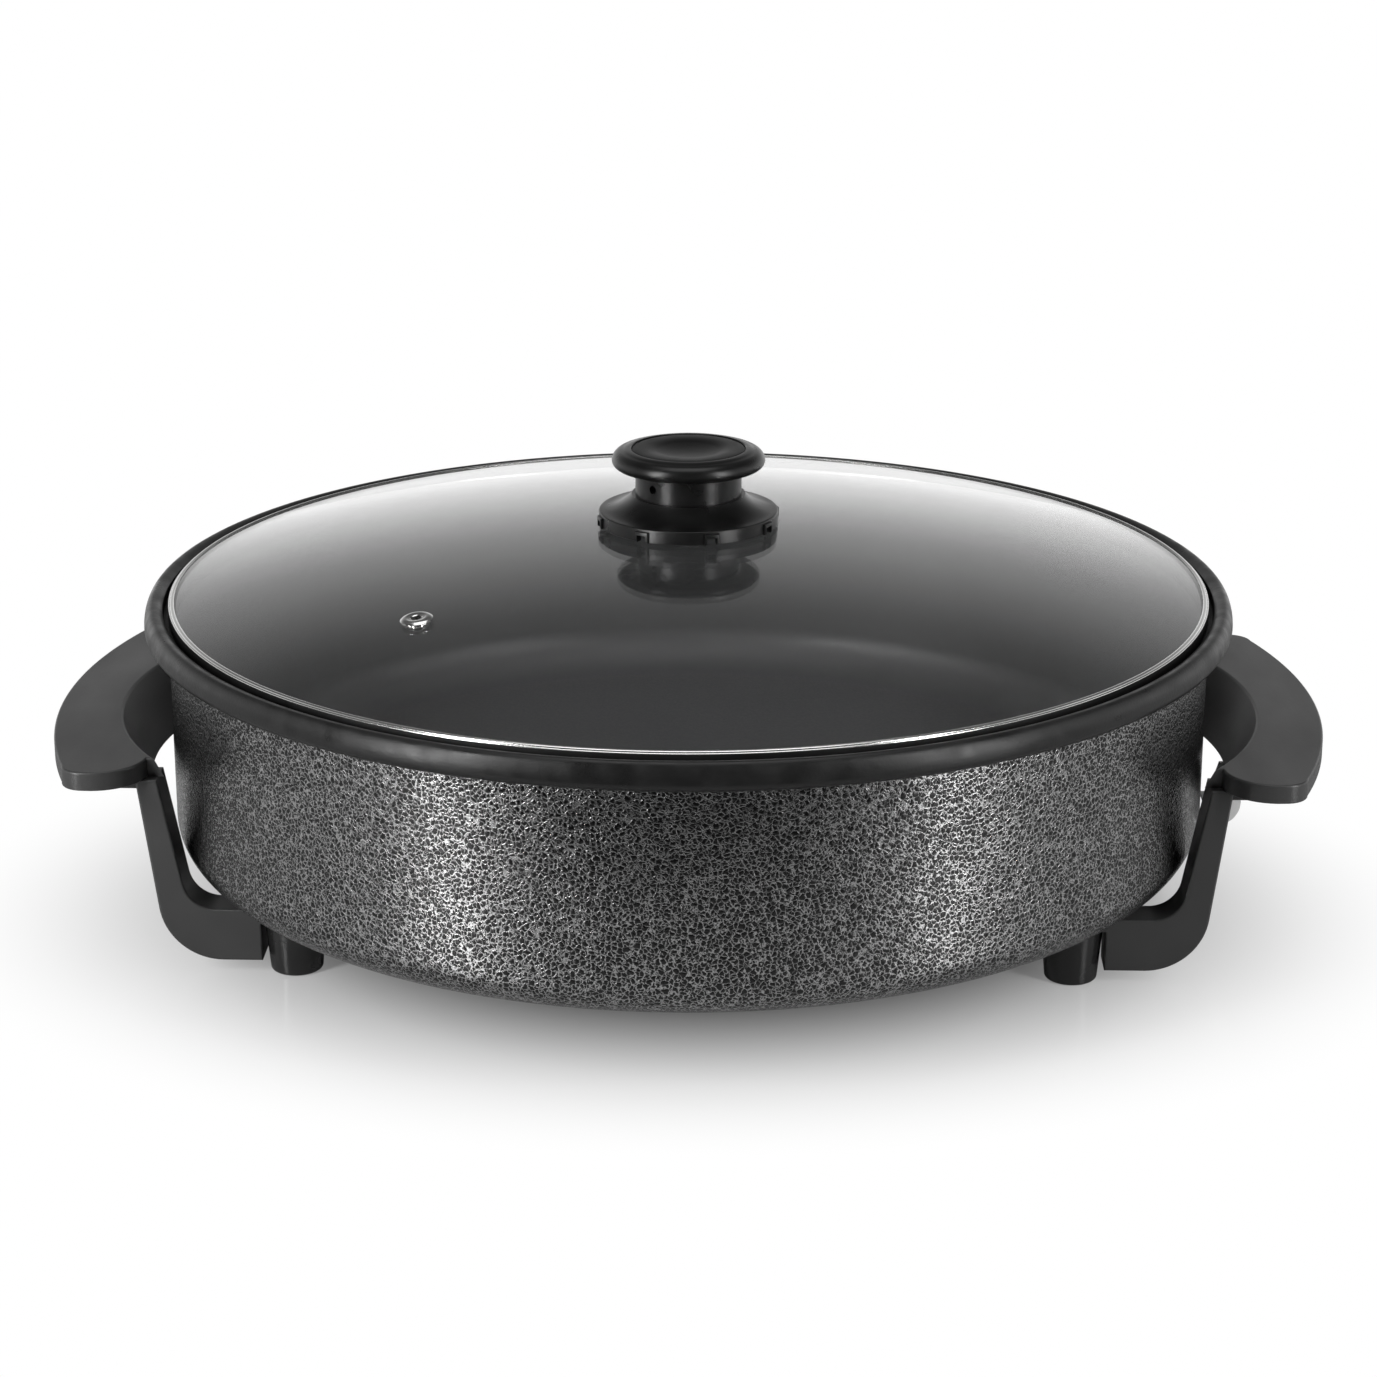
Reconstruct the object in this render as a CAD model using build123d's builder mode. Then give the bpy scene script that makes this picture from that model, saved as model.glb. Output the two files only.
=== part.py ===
"""Round electric skillet with a loose glass lid, two grips and four legs.

Frame: millimetres, +Z up, the table at z = 0 and the pan's axis on the Z axis.
The grips lie on the X axis. The appliance inlet opens towards +X, under the right grip.
"""

import os
from math import asin, atan2, degrees, sqrt

from build123d import *

os.makedirs("parts", exist_ok=True)


# ---------------------------------------------------------------- pan
base_z = 33.5               # underside of the pan above the table
pan_r = 205.8               # outside of the wall
pan_wall = 3.0
base_thick = 5.0
corner_w = 22.0             # rounded bottom corner, across
corner_h = 17.0             # rounded bottom corner, up
rim_low_z = base_z + 88.9   # where the bead leaves the wall
rim_foot_z = base_z + 89.9  # lowest point of the bead's own curve
rim_foot_r = 207.2
rim_wide_z = base_z + 94.0
rim_top_z = base_z + 101.0
rim_r = 215.0               # widest radius of the bead
rim_top_r = 209.8
rim_inner_r = 208.6         # wall of the step that centres the lid
ledge_soft = 0.8            # bevel between the lid's ledge and the wall

# ---------------------------------------------------------------- lid
lid_top_z = base_z + 128.0
glass_t = 4.5
glass_r = 204.7
glass_hole_r = 3.0
band_t = 0.7
band_flange = 4.6           # how far the band folds over the glass
band_top_z = base_z + 103.5
band_soft = 0.9
band_land = 1.6             # width of the flat that rests on the ledge
vent_x = -98.0
vent_y = -97.0
vent_hole_r = 2.0
vent_flange_r = 6.2
vent_flange_t = 1.0
vent_tube_r = 3.4
vent_curl_r = 5.0
vent_glass_r = 3.5

# ---------------------------------------------------------------- knob
skirt_r = 35.5
skirt_low_z = base_z + 128.4
skirt_band_z = base_z + 133.7
skirt_wall = 2.2
skirt_top_r = 22.5
hub_r = 12.0
gasket_t = 0.8
neck_r = 21.0
neck_low_z = base_z + 140.0
cap_low_z = base_z + 151.0
cap_wide_z = base_z + 153.8
cap_top_z = base_z + 158.5
cap_r = 30.3
cap_under_r = 28.2
inlay_r = 20.5
inlay_seat_r = 22.6
inlay_seat_z = cap_top_z - 2.2
inlay_peg_r = 5.0
inlay_peg_z = cap_top_z - 6.0
dish_depth = 1.6
notch_count = 8
notch_first = -73.5         # degrees from +X
notch_w = 4.0
notch_h = 2.8
hood_w = 5.6
hood_h = 4.2
hood_proud = 1.0
pin_hole_angle = -130.0     # degrees from +X
pin_hole_r = 1.65
pin_hole_z = base_z + 145.3
pin_hole_depth = 7.0
insert_r = 4.0
insert_len = 10.0
washer_r = 8.0
washer_t = 1.0
knob_shank_len = 24.5

# ---------------------------------------------------------------- grips
grip_top_z = base_z + 54.0
grip_t = 7.5
grip_low_z = grip_top_z - grip_t
grip_out_r = 252.0          # outer edge, about the pan's axis
grip_in_r = 137.0           # inner edge at the top, about grip_axis_x
grip_axis_x = 90.0
grip_end_y = 95.0
grip_corner_y = 86.5        # where the outer edge turns into the end
grip_plate_x = 194.0        # the plate is drawn as far in as this, then cut by the shield's cone
grip_soft = 2.0
shield_low_z = base_z + 28.5
shield_low_r = 126.0
shield_t = 3.0
shield_overlap = 2.0        # how far the shield runs up into the plate
shield_end_y = 77.5
shield_flat_y = 34.0        # the lower edge is level as far as this
shield_rise_y = 62.0        # and has risen to the grip plate here

# ---------------------------------------------------------------- legs and feet
leg_y = 74.0                # mid-plane of each leg
leg_w = 16.0
leg_top_z = grip_low_z
leg_out_x = 203.9           # outer edge at leg_ref_z
leg_in_x = 192.7            # inner edge at leg_ref_z
leg_ref_z = base_z + 1.4
leg_out_slope = 0.130
leg_in_slope = 0.1906
beam_low_z = 5.8
beam_top_z = 27.0
leg_out_bend = 24.5
leg_in_bend = 12.7
foot_x = 151.0
foot_r = 10.1
foot_top_r = 12.0
foot_h = 22.0
foot_soft = 1.6
foot_bore_r = 5.2
foot_bore_z = 9.0           # floor of the counterbore for the screw's head
beam_gap = 0.3              # between the end of the beam and the top of the foot
standoff_r = 8.0
ear_x = 222.0
ear_t = 4.0
ear_w = 12.0
ear_root = 4.0              # how far the ear starts inside the leg
ear_reach = 230.0

# ---------------------------------------------------------------- heater and inlet
ring_r = 130.0
tube_r = 3.3
lead_y = 15.0
lead_bend = 16.0
heater_z = 26.5
rib_low_z = 22.0
rib_half = 7.5
lead_end_x = 156.0
pin_r = 2.5
pin_stem_r = 2.2            # inside the bush
pin_end_x = 186.0
pin_bevel = 0.8
bush_r = 4.5
bush_end_x = 170.0
bush_collar_r = 5.5
bush_collar_t = 2.0
inlet_back_x = 160.0
inlet_wall_x = 168.0
inlet_mouth_x = 190.0
inlet_half = 27.0
inlet_low_z = 17.0
inlet_wall = 3.0
inlet_floor = 2.0
inlet_screw_x = 164.0
inlet_screw_y = 22.5
probe_r = 4.0
probe_bore_r = 3.1
probe_start_x = 80.0
probe_end_t = 4.0
probe_block_x = 76.0
probe_block_end_x = 148.0
probe_block_half = 7.0

# ---------------------------------------------------------------- plug guard
guard_t = 1.5
guard_half = 18.0
guard_out_x = 243.0
guard_turn_x = 229.3
guard_x = 220.6
guard_turn_z = 59.5
guard_low_z = 43.2
guard_in_x = 209.5
guard_bends = (3.0, 15.0, 9.0)
guard_screw_x = 237.0
guard_screw_y = 10.0

# ---------------------------------------------------------------- fasteners and clearances
running = 0.05
m5_shank_r = 2.5
m5_bore_r = m5_shank_r + running
m5_clear_r = 2.7
m5_head_r = 4.6
m5_head_t = 3.0
m5_slot = (6.0, 1.2, 1.6)      # length, width and depth of the cross recess
m3_shank_r = 1.7
m3_bore_r = m3_shank_r + running
m3_clear_r = 2.05
m3_head_r = 3.4
m3_head_t = 2.4
m3_sunk_r = 3.9
m3_slot = (4.6, 1.0, 1.3)
grip_pilot_depth = 5.2
inlet_pilot_depth = 3.5
tip_gap = 0.4                # a screw stops this short of the bottom of its hole
RIGHT = 1
LEFT = -1
CORNERS = [(side, end) for side in (RIGHT, LEFT) for end in (-1, 1)]


def corner_name(side, end):
    """Names a corner of the skillet, as in front_left."""
    depth = "front" if end < 0 else "back"
    hand = "right" if side > 0 else "left"
    return f"{depth}_{hand}"


def save(builder, name):
    """Labels a finished piece and writes its file."""
    builder.part.label = name
    export_step(builder.part, f"parts/{name}.step")


# The dome is a sphere through its top and its rim.
glass_edge_z = band_top_z - band_t
dome_rise = lid_top_z - glass_edge_z
dome_radius = (glass_r ** 2 + dome_rise ** 2) / (2 * dome_rise)
dome_centre_z = lid_top_z - dome_radius


def dome_z(r, inset=0.0):
    """Height of the dome at radius r, or of a surface that lies inset below it."""
    return dome_centre_z + sqrt((dome_radius - inset) ** 2 - r ** 2)


def dome_points(start_r, end_r, inset=0.0):
    """Three points of the dome's section, from one radius to another."""
    mid_r = (start_r + end_r) / 2
    return [(r, dome_z(r, inset)) for r in (start_r, mid_r, end_r)]


lid_seat_z = dome_z(glass_r, glass_t) - band_t

# The heater's leads turn off the ring on arcs that touch it from outside.
turn_y = lead_y + lead_bend
turn_x = sqrt((ring_r + lead_bend) ** 2 - turn_y ** 2)
turn_angle = degrees(atan2(turn_y, turn_x))

foot_spots = [(side * foot_x, end * leg_y) for side, end in CORNERS]
ear_spots = [(side * ear_x, end * leg_y) for side, end in CORNERS]
guard_spots = [(guard_screw_x, -guard_screw_y), (guard_screw_x, guard_screw_y)]
inlet_spots = [(inlet_screw_x, -inlet_screw_y), (inlet_screw_x, inlet_screw_y)]
lead_spots = [(-lead_y, heater_z), (lead_y, heater_z)]


# ---------------------------------------------------------------- pan and rim
inner_r = pan_r - pan_wall
floor_r = inner_r - corner_w
floor_z = base_z + base_thick
bead_low_w = rim_r - rim_foot_r
bead_low_h = rim_wide_z - rim_foot_z
bead_top_w = rim_r - rim_top_r
bead_top_h = rim_top_z - rim_wide_z

with BuildPart() as pan_body:
    with BuildSketch(Plane.XZ):
        with BuildLine():
            Line((0, base_z), (pan_r - corner_w, base_z))
            EllipticalCenterArc((pan_r - corner_w, base_z + corner_h), corner_w, corner_h, 270, arc_size=90)
            Polyline(
                (pan_r, base_z + corner_h),
                (pan_r, rim_low_z),
                (inner_r, rim_low_z),
                (inner_r, floor_z + corner_h),
            )
            EllipticalCenterArc((floor_r, floor_z + corner_h), corner_w, corner_h, 270, arc_size=90)
            Polyline((floor_r, floor_z), (0, floor_z), (0, base_z))
        make_face()
    revolve(axis=Axis.Z)
    with BuildSketch(Plane.XY.offset(base_z)):
        with Locations(*inlet_spots):
            Circle(m3_bore_r)
    extrude(amount=inlet_pilot_depth, mode=Mode.SUBTRACT)
save(pan_body, "pan_body")

# The rolled rim stands on the wall. Its step holds and centres the lid.
with BuildPart() as pan_rim:
    with BuildSketch(Plane.XZ):
        with BuildLine():
            ThreePointArc((pan_r, rim_low_z), (pan_r + 0.4, rim_low_z + 0.6), (rim_foot_r, rim_foot_z))
            EllipticalCenterArc((rim_foot_r, rim_wide_z), bead_low_w, bead_low_h, 270, arc_size=90)
            EllipticalCenterArc((rim_top_r, rim_wide_z), bead_top_w, bead_top_h, 0, arc_size=90)
            ThreePointArc(
                (rim_top_r, rim_top_z),
                (rim_inner_r + 0.3, rim_top_z - 0.25),
                (rim_inner_r, rim_top_z - 0.9),
            )
            Polyline(
                (rim_inner_r, rim_top_z - 0.9),
                (rim_inner_r, lid_seat_z),
                (inner_r + ledge_soft, lid_seat_z),
                (inner_r, lid_seat_z - ledge_soft),
                (inner_r, rim_low_z),
                (pan_r, rim_low_z),
            )
        make_face()
    revolve(axis=Axis.Z)
save(pan_rim, "pan_rim")


# ---------------------------------------------------------------- under the base
# The cradle holds the heater in a groove. It is open towards the inlet.
with BuildPart() as heater_cradle:
    with BuildSketch(Plane.XY.offset(rib_low_z)):
        Circle(ring_r + rib_half)
        Circle(ring_r - rib_half, mode=Mode.SUBTRACT)
        with Locations((ring_r, 0)):
            Rectangle(2 * ring_r, 2 * (turn_y - 1.0), mode=Mode.SUBTRACT)
    extrude(amount=base_z - rib_low_z)
    with BuildSketch(Plane.XZ):
        with BuildLine():
            Line((ring_r - tube_r - running, rib_low_z), (ring_r - tube_r - running, heater_z))
            ThreePointArc(
                (ring_r - tube_r - running, heater_z),
                (ring_r, heater_z + tube_r + running),
                (ring_r + tube_r + running, heater_z),
            )
            Line((ring_r + tube_r + running, heater_z), (ring_r + tube_r + running, rib_low_z))
            Line((ring_r + tube_r + running, rib_low_z), (ring_r - tube_r - running, rib_low_z))
        make_face()
    revolve(axis=Axis.Z, mode=Mode.SUBTRACT)
save(heater_cradle, "heater_cradle")

with BuildPart() as probe_block:
    with BuildSketch(Plane.XY.offset(rib_low_z)):
        with Locations(((probe_block_x + probe_block_end_x) / 2, 0)):
            Rectangle(probe_block_end_x - probe_block_x, 2 * probe_block_half)
    extrude(amount=base_z - rib_low_z)
    with BuildSketch(Plane.YZ.offset(probe_start_x)):
        with Locations((0, heater_z)):
            Circle(probe_r + running)
    extrude(amount=probe_block_end_x - probe_start_x, mode=Mode.SUBTRACT)
save(probe_block, "probe_block")

# Threaded standoffs carry the legs' eyes.
with BuildPart() as foot_standoffs:
    with BuildSketch(Plane.XY.offset(beam_top_z)):
        with Locations(*foot_spots):
            Circle(standoff_r)
    extrude(amount=base_z - beam_top_z)
    with BuildSketch(Plane.XY.offset(beam_top_z)):
        with Locations(*foot_spots):
            Circle(m5_bore_r)
    extrude(amount=base_z - beam_top_z, mode=Mode.SUBTRACT)
save(foot_standoffs, "foot_standoffs")


# ---------------------------------------------------------------- heater, pins and inlet
with BuildPart() as heating_element:
    with BuildLine(Plane.XY.offset(heater_z)):
        Line((lead_end_x, lead_y), (turn_x, lead_y))
        CenterArc((turn_x, turn_y), lead_bend, 270, turn_angle - 90)
        CenterArc((0, 0), ring_r, turn_angle, 360 - 2 * turn_angle)
        CenterArc((turn_x, -turn_y), lead_bend, 180 - turn_angle, turn_angle - 90)
        Line((turn_x, -lead_y), (lead_end_x, -lead_y))
    with BuildSketch(Plane.YZ.offset(lead_end_x)):
        with Locations((lead_y, heater_z)):
            Circle(tube_r)
    sweep(transition=Transition.RIGHT)
save(heating_element, "heating_element")

with BuildPart() as terminal_pins:
    with BuildSketch(Plane.YZ.offset(lead_end_x)):
        with Locations(*lead_spots):
            Circle(pin_stem_r)
    extrude(amount=bush_end_x - lead_end_x)
    with BuildSketch(Plane.YZ.offset(bush_end_x)):
        with Locations(*lead_spots):
            Circle(pin_r)
    extrude(amount=pin_end_x - bush_end_x)
    chamfer(terminal_pins.faces().filter_by(Axis.X).group_by(Axis.X)[-1].edges(), pin_bevel)
save(terminal_pins, "terminal_pins")

with BuildPart() as terminal_insulators:
    with BuildSketch(Plane.YZ.offset(inlet_back_x - bush_collar_t)):
        with Locations(*lead_spots):
            Circle(bush_collar_r)
    extrude(amount=bush_collar_t)
    with BuildSketch(Plane.YZ.offset(inlet_back_x)):
        with Locations(*lead_spots):
            Circle(bush_r)
    extrude(amount=bush_end_x - inlet_back_x)
    with BuildSketch(Plane.YZ.offset(inlet_back_x - bush_collar_t)):
        with Locations(*lead_spots):
            Circle(pin_stem_r + running)
    extrude(amount=bush_end_x - inlet_back_x + bush_collar_t, mode=Mode.SUBTRACT)
save(terminal_insulators, "terminal_insulators")

with BuildPart() as probe_sleeve:
    with BuildSketch(Plane.YZ.offset(probe_start_x)):
        with Locations((0, heater_z)):
            Circle(probe_r)
    extrude(amount=bush_end_x - probe_start_x)
    with BuildSketch(Plane.YZ.offset(probe_start_x + probe_end_t)):
        with Locations((0, heater_z)):
            Circle(probe_bore_r)
    extrude(amount=bush_end_x - probe_start_x - probe_end_t, mode=Mode.SUBTRACT)
save(probe_sleeve, "probe_sleeve")

with BuildPart() as inlet_housing:
    with BuildSketch(Plane.XY.offset(inlet_low_z)):
        with Locations(((inlet_back_x + inlet_mouth_x) / 2, 0)):
            RectangleRounded(inlet_mouth_x - inlet_back_x, 2 * inlet_half, 3)
    extrude(amount=base_z - inlet_low_z)
    # the recess round the pins, open towards +X
    with BuildSketch(Plane.YZ.offset(inlet_wall_x)):
        with Locations((0, (inlet_low_z + base_z) / 2)):
            RectangleRounded(2 * (inlet_half - inlet_wall), base_z - inlet_low_z - 2 * inlet_floor, 2)
    extrude(amount=inlet_mouth_x - inlet_wall_x, mode=Mode.SUBTRACT)
    with BuildSketch(Plane.YZ.offset(inlet_back_x)):
        with Locations(*lead_spots):
            Circle(bush_r + running)
        with Locations((0, heater_z)):
            Circle(probe_r + running)
    extrude(amount=inlet_wall_x - inlet_back_x, mode=Mode.SUBTRACT)
    with BuildSketch(Plane.XY.offset(inlet_low_z)):
        with Locations(*inlet_spots):
            Circle(m3_clear_r)
    extrude(amount=base_z - inlet_low_z, mode=Mode.SUBTRACT)
save(inlet_housing, "inlet_housing")

with BuildPart() as inlet_screws:
    with BuildSketch(Plane.XY.offset(inlet_low_z - m3_head_t)):
        with Locations(*inlet_spots):
            Circle(m3_head_r)
    extrude(amount=m3_head_t)
    with BuildSketch(Plane.XY.offset(inlet_low_z)):
        with Locations(*inlet_spots):
            Circle(m3_shank_r)
    extrude(amount=base_z + inlet_pilot_depth - tip_gap - inlet_low_z)
    with BuildSketch(Plane.XY.offset(inlet_low_z - m3_head_t)):
        with Locations(*inlet_spots):
            Rectangle(m3_slot[0], m3_slot[1])
            Rectangle(m3_slot[1], m3_slot[0])
    extrude(amount=m3_slot[2], mode=Mode.SUBTRACT)
save(inlet_screws, "inlet_screws")


# ---------------------------------------------------------------- grips
shield_lean = (grip_in_r - shield_low_r) / (grip_top_z - shield_low_z)
shield_top_z = grip_low_z + shield_overlap
grip_corner_angle = degrees(asin(grip_corner_y / grip_out_r))


def cone_x(z):
    """Where the inner face of the shield crosses the X axis at height z."""
    return grip_axis_x + grip_in_r + (z - grip_top_z) * shield_lean


# A solid cone, trimmed to the outline of the shield. The inner cone is cut from it last.
with BuildPart() as shield_blank:
    with BuildSketch(Plane.XZ):
        with BuildLine():
            Polyline(
                (grip_axis_x, shield_low_z),
                (cone_x(shield_low_z) + shield_t, shield_low_z),
                (cone_x(shield_top_z) + shield_t, shield_top_z),
                (grip_axis_x, shield_top_z),
                close=True,
            )
        make_face()
    revolve(axis=Axis((grip_axis_x, 0, 0), (0, 0, 1)))
    with BuildSketch(Plane.YZ.offset(grip_axis_x + 40.0)):
        with BuildLine():
            Polyline(
                (-shield_rise_y, shield_top_z),
                (-shield_rise_y, grip_low_z),
                (-shield_flat_y, shield_low_z),
                (shield_flat_y, shield_low_z),
                (shield_rise_y, grip_low_z),
                (shield_rise_y, shield_top_z),
                close=True,
            )
        make_face()
    extrude(amount=grip_in_r, mode=Mode.INTERSECT)

for side in (RIGHT, LEFT):
    with BuildPart() as grip:
        with BuildSketch(Plane.XY.offset(grip_low_z)):
            with BuildLine():
                outer = CenterArc((0, 0), grip_out_r, 0, grip_corner_angle)
                corner = ThreePointArc(outer @ 1, (233.6, 92.6), (227.0, grip_end_y))
                end_edge = ThreePointArc(corner @ 1, (213.0, 91.2), (205.5, shield_end_y))
                Polyline(end_edge @ 1, (grip_plate_x, shield_end_y), (grip_plate_x, 0), (grip_out_r, 0))
            make_face()
            mirror(about=Plane.XZ)
        extrude(amount=grip_t)
        add(shield_blank.part)
        with BuildSketch(Plane.XZ):
            with BuildLine():
                Polyline(
                    (grip_axis_x, shield_low_z - 1),
                    (cone_x(shield_low_z - 1), shield_low_z - 1),
                    (cone_x(grip_top_z + 1), grip_top_z + 1),
                    (grip_axis_x, grip_top_z + 1),
                    close=True,
                )
            make_face()
        revolve(axis=Axis((grip_axis_x, 0, 0), (0, 0, 1)), mode=Mode.SUBTRACT)
        fillet(grip.edges().group_by(Axis.Z)[-1], grip_soft)
        with BuildSketch(Plane.XY.offset(grip_low_z)):
            with Locations((ear_x, -leg_y), (ear_x, leg_y)):
                Circle(m3_bore_r)
            if side == RIGHT:
                with Locations(*guard_spots):
                    Circle(m3_bore_r)
        extrude(amount=grip_pilot_depth, mode=Mode.SUBTRACT)
        if side == LEFT:
            mirror(about=Plane.YZ, mode=Mode.REPLACE)
    save(grip, "right_grip" if side == RIGHT else "left_grip")


# ---------------------------------------------------------------- legs
leg_top_out_x = leg_out_x + (leg_top_z - leg_ref_z) * leg_out_slope
leg_top_in_x = leg_in_x + (leg_top_z - leg_ref_z) * leg_in_slope
leg_heel_x = leg_out_x + (beam_low_z - leg_ref_z) * leg_out_slope
leg_crook_x = leg_in_x + (beam_top_z - leg_ref_z) * leg_in_slope
beam_end_x = foot_x + foot_top_r + beam_gap
eye_r = foot_top_r - 1.0
ear_low_z = leg_top_z - ear_t

for side, end in CORNERS:
    with BuildPart() as leg:
        with BuildSketch(Plane.XZ.offset(-leg_y - leg_w / 2)):
            with BuildLine():
                Polyline(
                    (leg_top_out_x, leg_top_z),
                    (leg_heel_x, beam_low_z),
                    (beam_end_x, beam_low_z),
                    (beam_end_x, beam_top_z),
                    (leg_crook_x, beam_top_z),
                    (leg_top_in_x, leg_top_z),
                    close=True,
                )
            make_face()
        extrude(amount=leg_w)
        heel = leg.edges().filter_by(Axis.Y).sort_by_distance((leg_heel_x, leg_y, beam_low_z))[0]
        fillet(heel, leg_out_bend)
        crook = leg.edges().filter_by(Axis.Y).sort_by_distance((leg_crook_x, leg_y, beam_top_z))[0]
        fillet(crook, leg_in_bend)
        # the eye over the foot
        with BuildSketch(Plane.XY.offset(foot_h)):
            with Locations((foot_x, leg_y)):
                Circle(eye_r)
            with Locations(((foot_x + beam_end_x + 2.0) / 2, leg_y)):
                Rectangle(beam_end_x + 2.0 - foot_x, leg_w)
        extrude(amount=beam_top_z - foot_h)
        # the ear under the grip
        with BuildSketch(Plane.XY.offset(ear_low_z)):
            with Locations(((leg_top_in_x + ear_root + ear_reach) / 2, leg_y)):
                Rectangle(ear_reach - leg_top_in_x - ear_root, ear_w)
        extrude(amount=ear_t)
        with Locations((foot_x, leg_y, beam_top_z)):
            Hole(m5_clear_r, beam_top_z - foot_h + 1)
        with Locations(Plane((ear_x, leg_y, ear_low_z), x_dir=(1, 0, 0), z_dir=(0, 0, -1))):
            CounterSinkHole(m3_clear_r, m3_sunk_r, ear_t + 1)
        if end < 0:
            mirror(about=Plane.XZ, mode=Mode.REPLACE)
        if side < 0:
            mirror(about=Plane.YZ, mode=Mode.REPLACE)
    save(leg, f"leg_{corner_name(side, end)}")


# ---------------------------------------------------------------- feet
for side, end in CORNERS:
    with BuildPart() as foot:
        with BuildSketch(Plane.XY):
            with Locations((side * foot_x, end * leg_y)):
                Circle(foot_r)
        with BuildSketch(Plane.XY.offset(foot_h)):
            with Locations((side * foot_x, end * leg_y)):
                Circle(foot_top_r)
        loft()
        fillet(foot.edges().group_by(Axis.Z)[0], foot_soft)
        with BuildSketch(Plane.XY):
            with Locations((side * foot_x, end * leg_y)):
                Circle(foot_bore_r)
        extrude(amount=foot_bore_z, mode=Mode.SUBTRACT)
        with BuildSketch(Plane.XY):
            with Locations((side * foot_x, end * leg_y)):
                Circle(m5_clear_r)
        extrude(amount=foot_h, mode=Mode.SUBTRACT)
    save(foot, f"foot_{corner_name(side, end)}")

with BuildPart() as foot_screws:
    with BuildSketch(Plane.XY.offset(foot_bore_z - m5_head_t)):
        with Locations(*foot_spots):
            Circle(m5_head_r)
    extrude(amount=m5_head_t)
    with BuildSketch(Plane.XY.offset(foot_bore_z)):
        with Locations(*foot_spots):
            Circle(m5_shank_r)
    extrude(amount=base_z - tip_gap - foot_bore_z)
    with BuildSketch(Plane.XY.offset(foot_bore_z - m5_head_t)):
        with Locations(*foot_spots):
            Rectangle(m5_slot[0], m5_slot[1])
            Rectangle(m5_slot[1], m5_slot[0])
    extrude(amount=m5_slot[2], mode=Mode.SUBTRACT)
save(foot_screws, "foot_screws")

# Countersunk screws through the legs' ears. The cone of each head lies in the ear's countersink.
with BuildPart() as grip_screws:
    for spot_x, spot_y in ear_spots:
        with BuildSketch(Plane.XY.offset(ear_low_z)):
            with Locations((spot_x, spot_y)):
                Circle(m3_sunk_r)
        extrude(amount=m3_sunk_r - m3_shank_r, taper=45)
        with BuildSketch(Plane.XY.offset(ear_low_z + 1.0)):
            with Locations((spot_x, spot_y)):
                Circle(m3_shank_r)
        extrude(amount=ear_t - 1.0 + grip_pilot_depth - tip_gap)
        with BuildSketch(Plane.XY.offset(ear_low_z)):
            with Locations((spot_x, spot_y)):
                Rectangle(m3_slot[0], m3_slot[1])
                Rectangle(m3_slot[1], m3_slot[0])
        extrude(amount=m3_slot[2], mode=Mode.SUBTRACT)
save(grip_screws, "grip_screws")


# ---------------------------------------------------------------- plug guard
# A bent steel plate that hangs from the right grip and turns in under the leg's heel.
with BuildPart() as plug_guard:
    with BuildSketch(Plane.XZ):
        with BuildLine() as guard_line:
            FilletPolyline(
                (guard_out_x, grip_low_z - guard_t / 2),
                (guard_turn_x, grip_low_z - guard_t / 2),
                (guard_x, guard_turn_z),
                (guard_x, guard_low_z),
                (guard_in_x, guard_low_z),
                radius=guard_bends,
            )
            offset(amount=guard_t / 2, side=Side.BOTH)
        make_face()
    extrude(amount=guard_half, both=True)
    with BuildSketch(Plane.XY.offset(grip_low_z)):
        with Locations(*guard_spots):
            Circle(m3_clear_r)
    extrude(amount=-2 * guard_t, mode=Mode.SUBTRACT)
save(plug_guard, "plug_guard")

with BuildPart() as guard_screws:
    with BuildSketch(Plane.XY.offset(grip_low_z - guard_t - m3_head_t)):
        with Locations(*guard_spots):
            Circle(m3_head_r)
    extrude(amount=m3_head_t)
    with BuildSketch(Plane.XY.offset(grip_low_z - guard_t)):
        with Locations(*guard_spots):
            Circle(m3_shank_r)
    extrude(amount=guard_t + grip_pilot_depth - tip_gap)
    with BuildSketch(Plane.XY.offset(grip_low_z - guard_t - m3_head_t)):
        with Locations(*guard_spots):
            Rectangle(m3_slot[0], m3_slot[1])
            Rectangle(m3_slot[1], m3_slot[0])
    extrude(amount=m3_slot[2], mode=Mode.SUBTRACT)
save(guard_screws, "guard_screws")


# ---------------------------------------------------------------- lid
vent_r = sqrt(vent_x ** 2 + vent_y ** 2)
vent_plane = Plane(
    origin=(vent_x, vent_y, dome_z(vent_r)),
    x_dir=(-vent_y, vent_x, 0),
    z_dir=(vent_x, vent_y, dome_z(vent_r) - dome_centre_z),
)

with BuildPart() as lid_glass:
    with BuildSketch(Plane.XZ):
        with BuildLine():
            ThreePointArc(*dome_points(0.0, glass_r))
            Line((glass_r, dome_z(glass_r)), (glass_r, dome_z(glass_r, glass_t)))
            ThreePointArc(*dome_points(glass_r, 0.0, glass_t))
            Line((0, dome_z(0, glass_t)), (0, dome_z(0)))
        make_face()
    revolve(axis=Axis.Z)
    with BuildSketch(Plane.XY.offset(dome_z(0, glass_t) - 1)):
        Circle(glass_hole_r)
    extrude(amount=glass_t + 2, mode=Mode.SUBTRACT)
    with BuildSketch(vent_plane.offset(2.0)):
        Circle(vent_glass_r)
    extrude(amount=-glass_t - 4.0, mode=Mode.SUBTRACT)
save(lid_glass, "lid_glass")

band_r = glass_r + running + band_t
band_in_r = band_r - band_flange
band_shoulder_r = band_r - band_soft
land_in_r = band_shoulder_r - band_land

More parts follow.
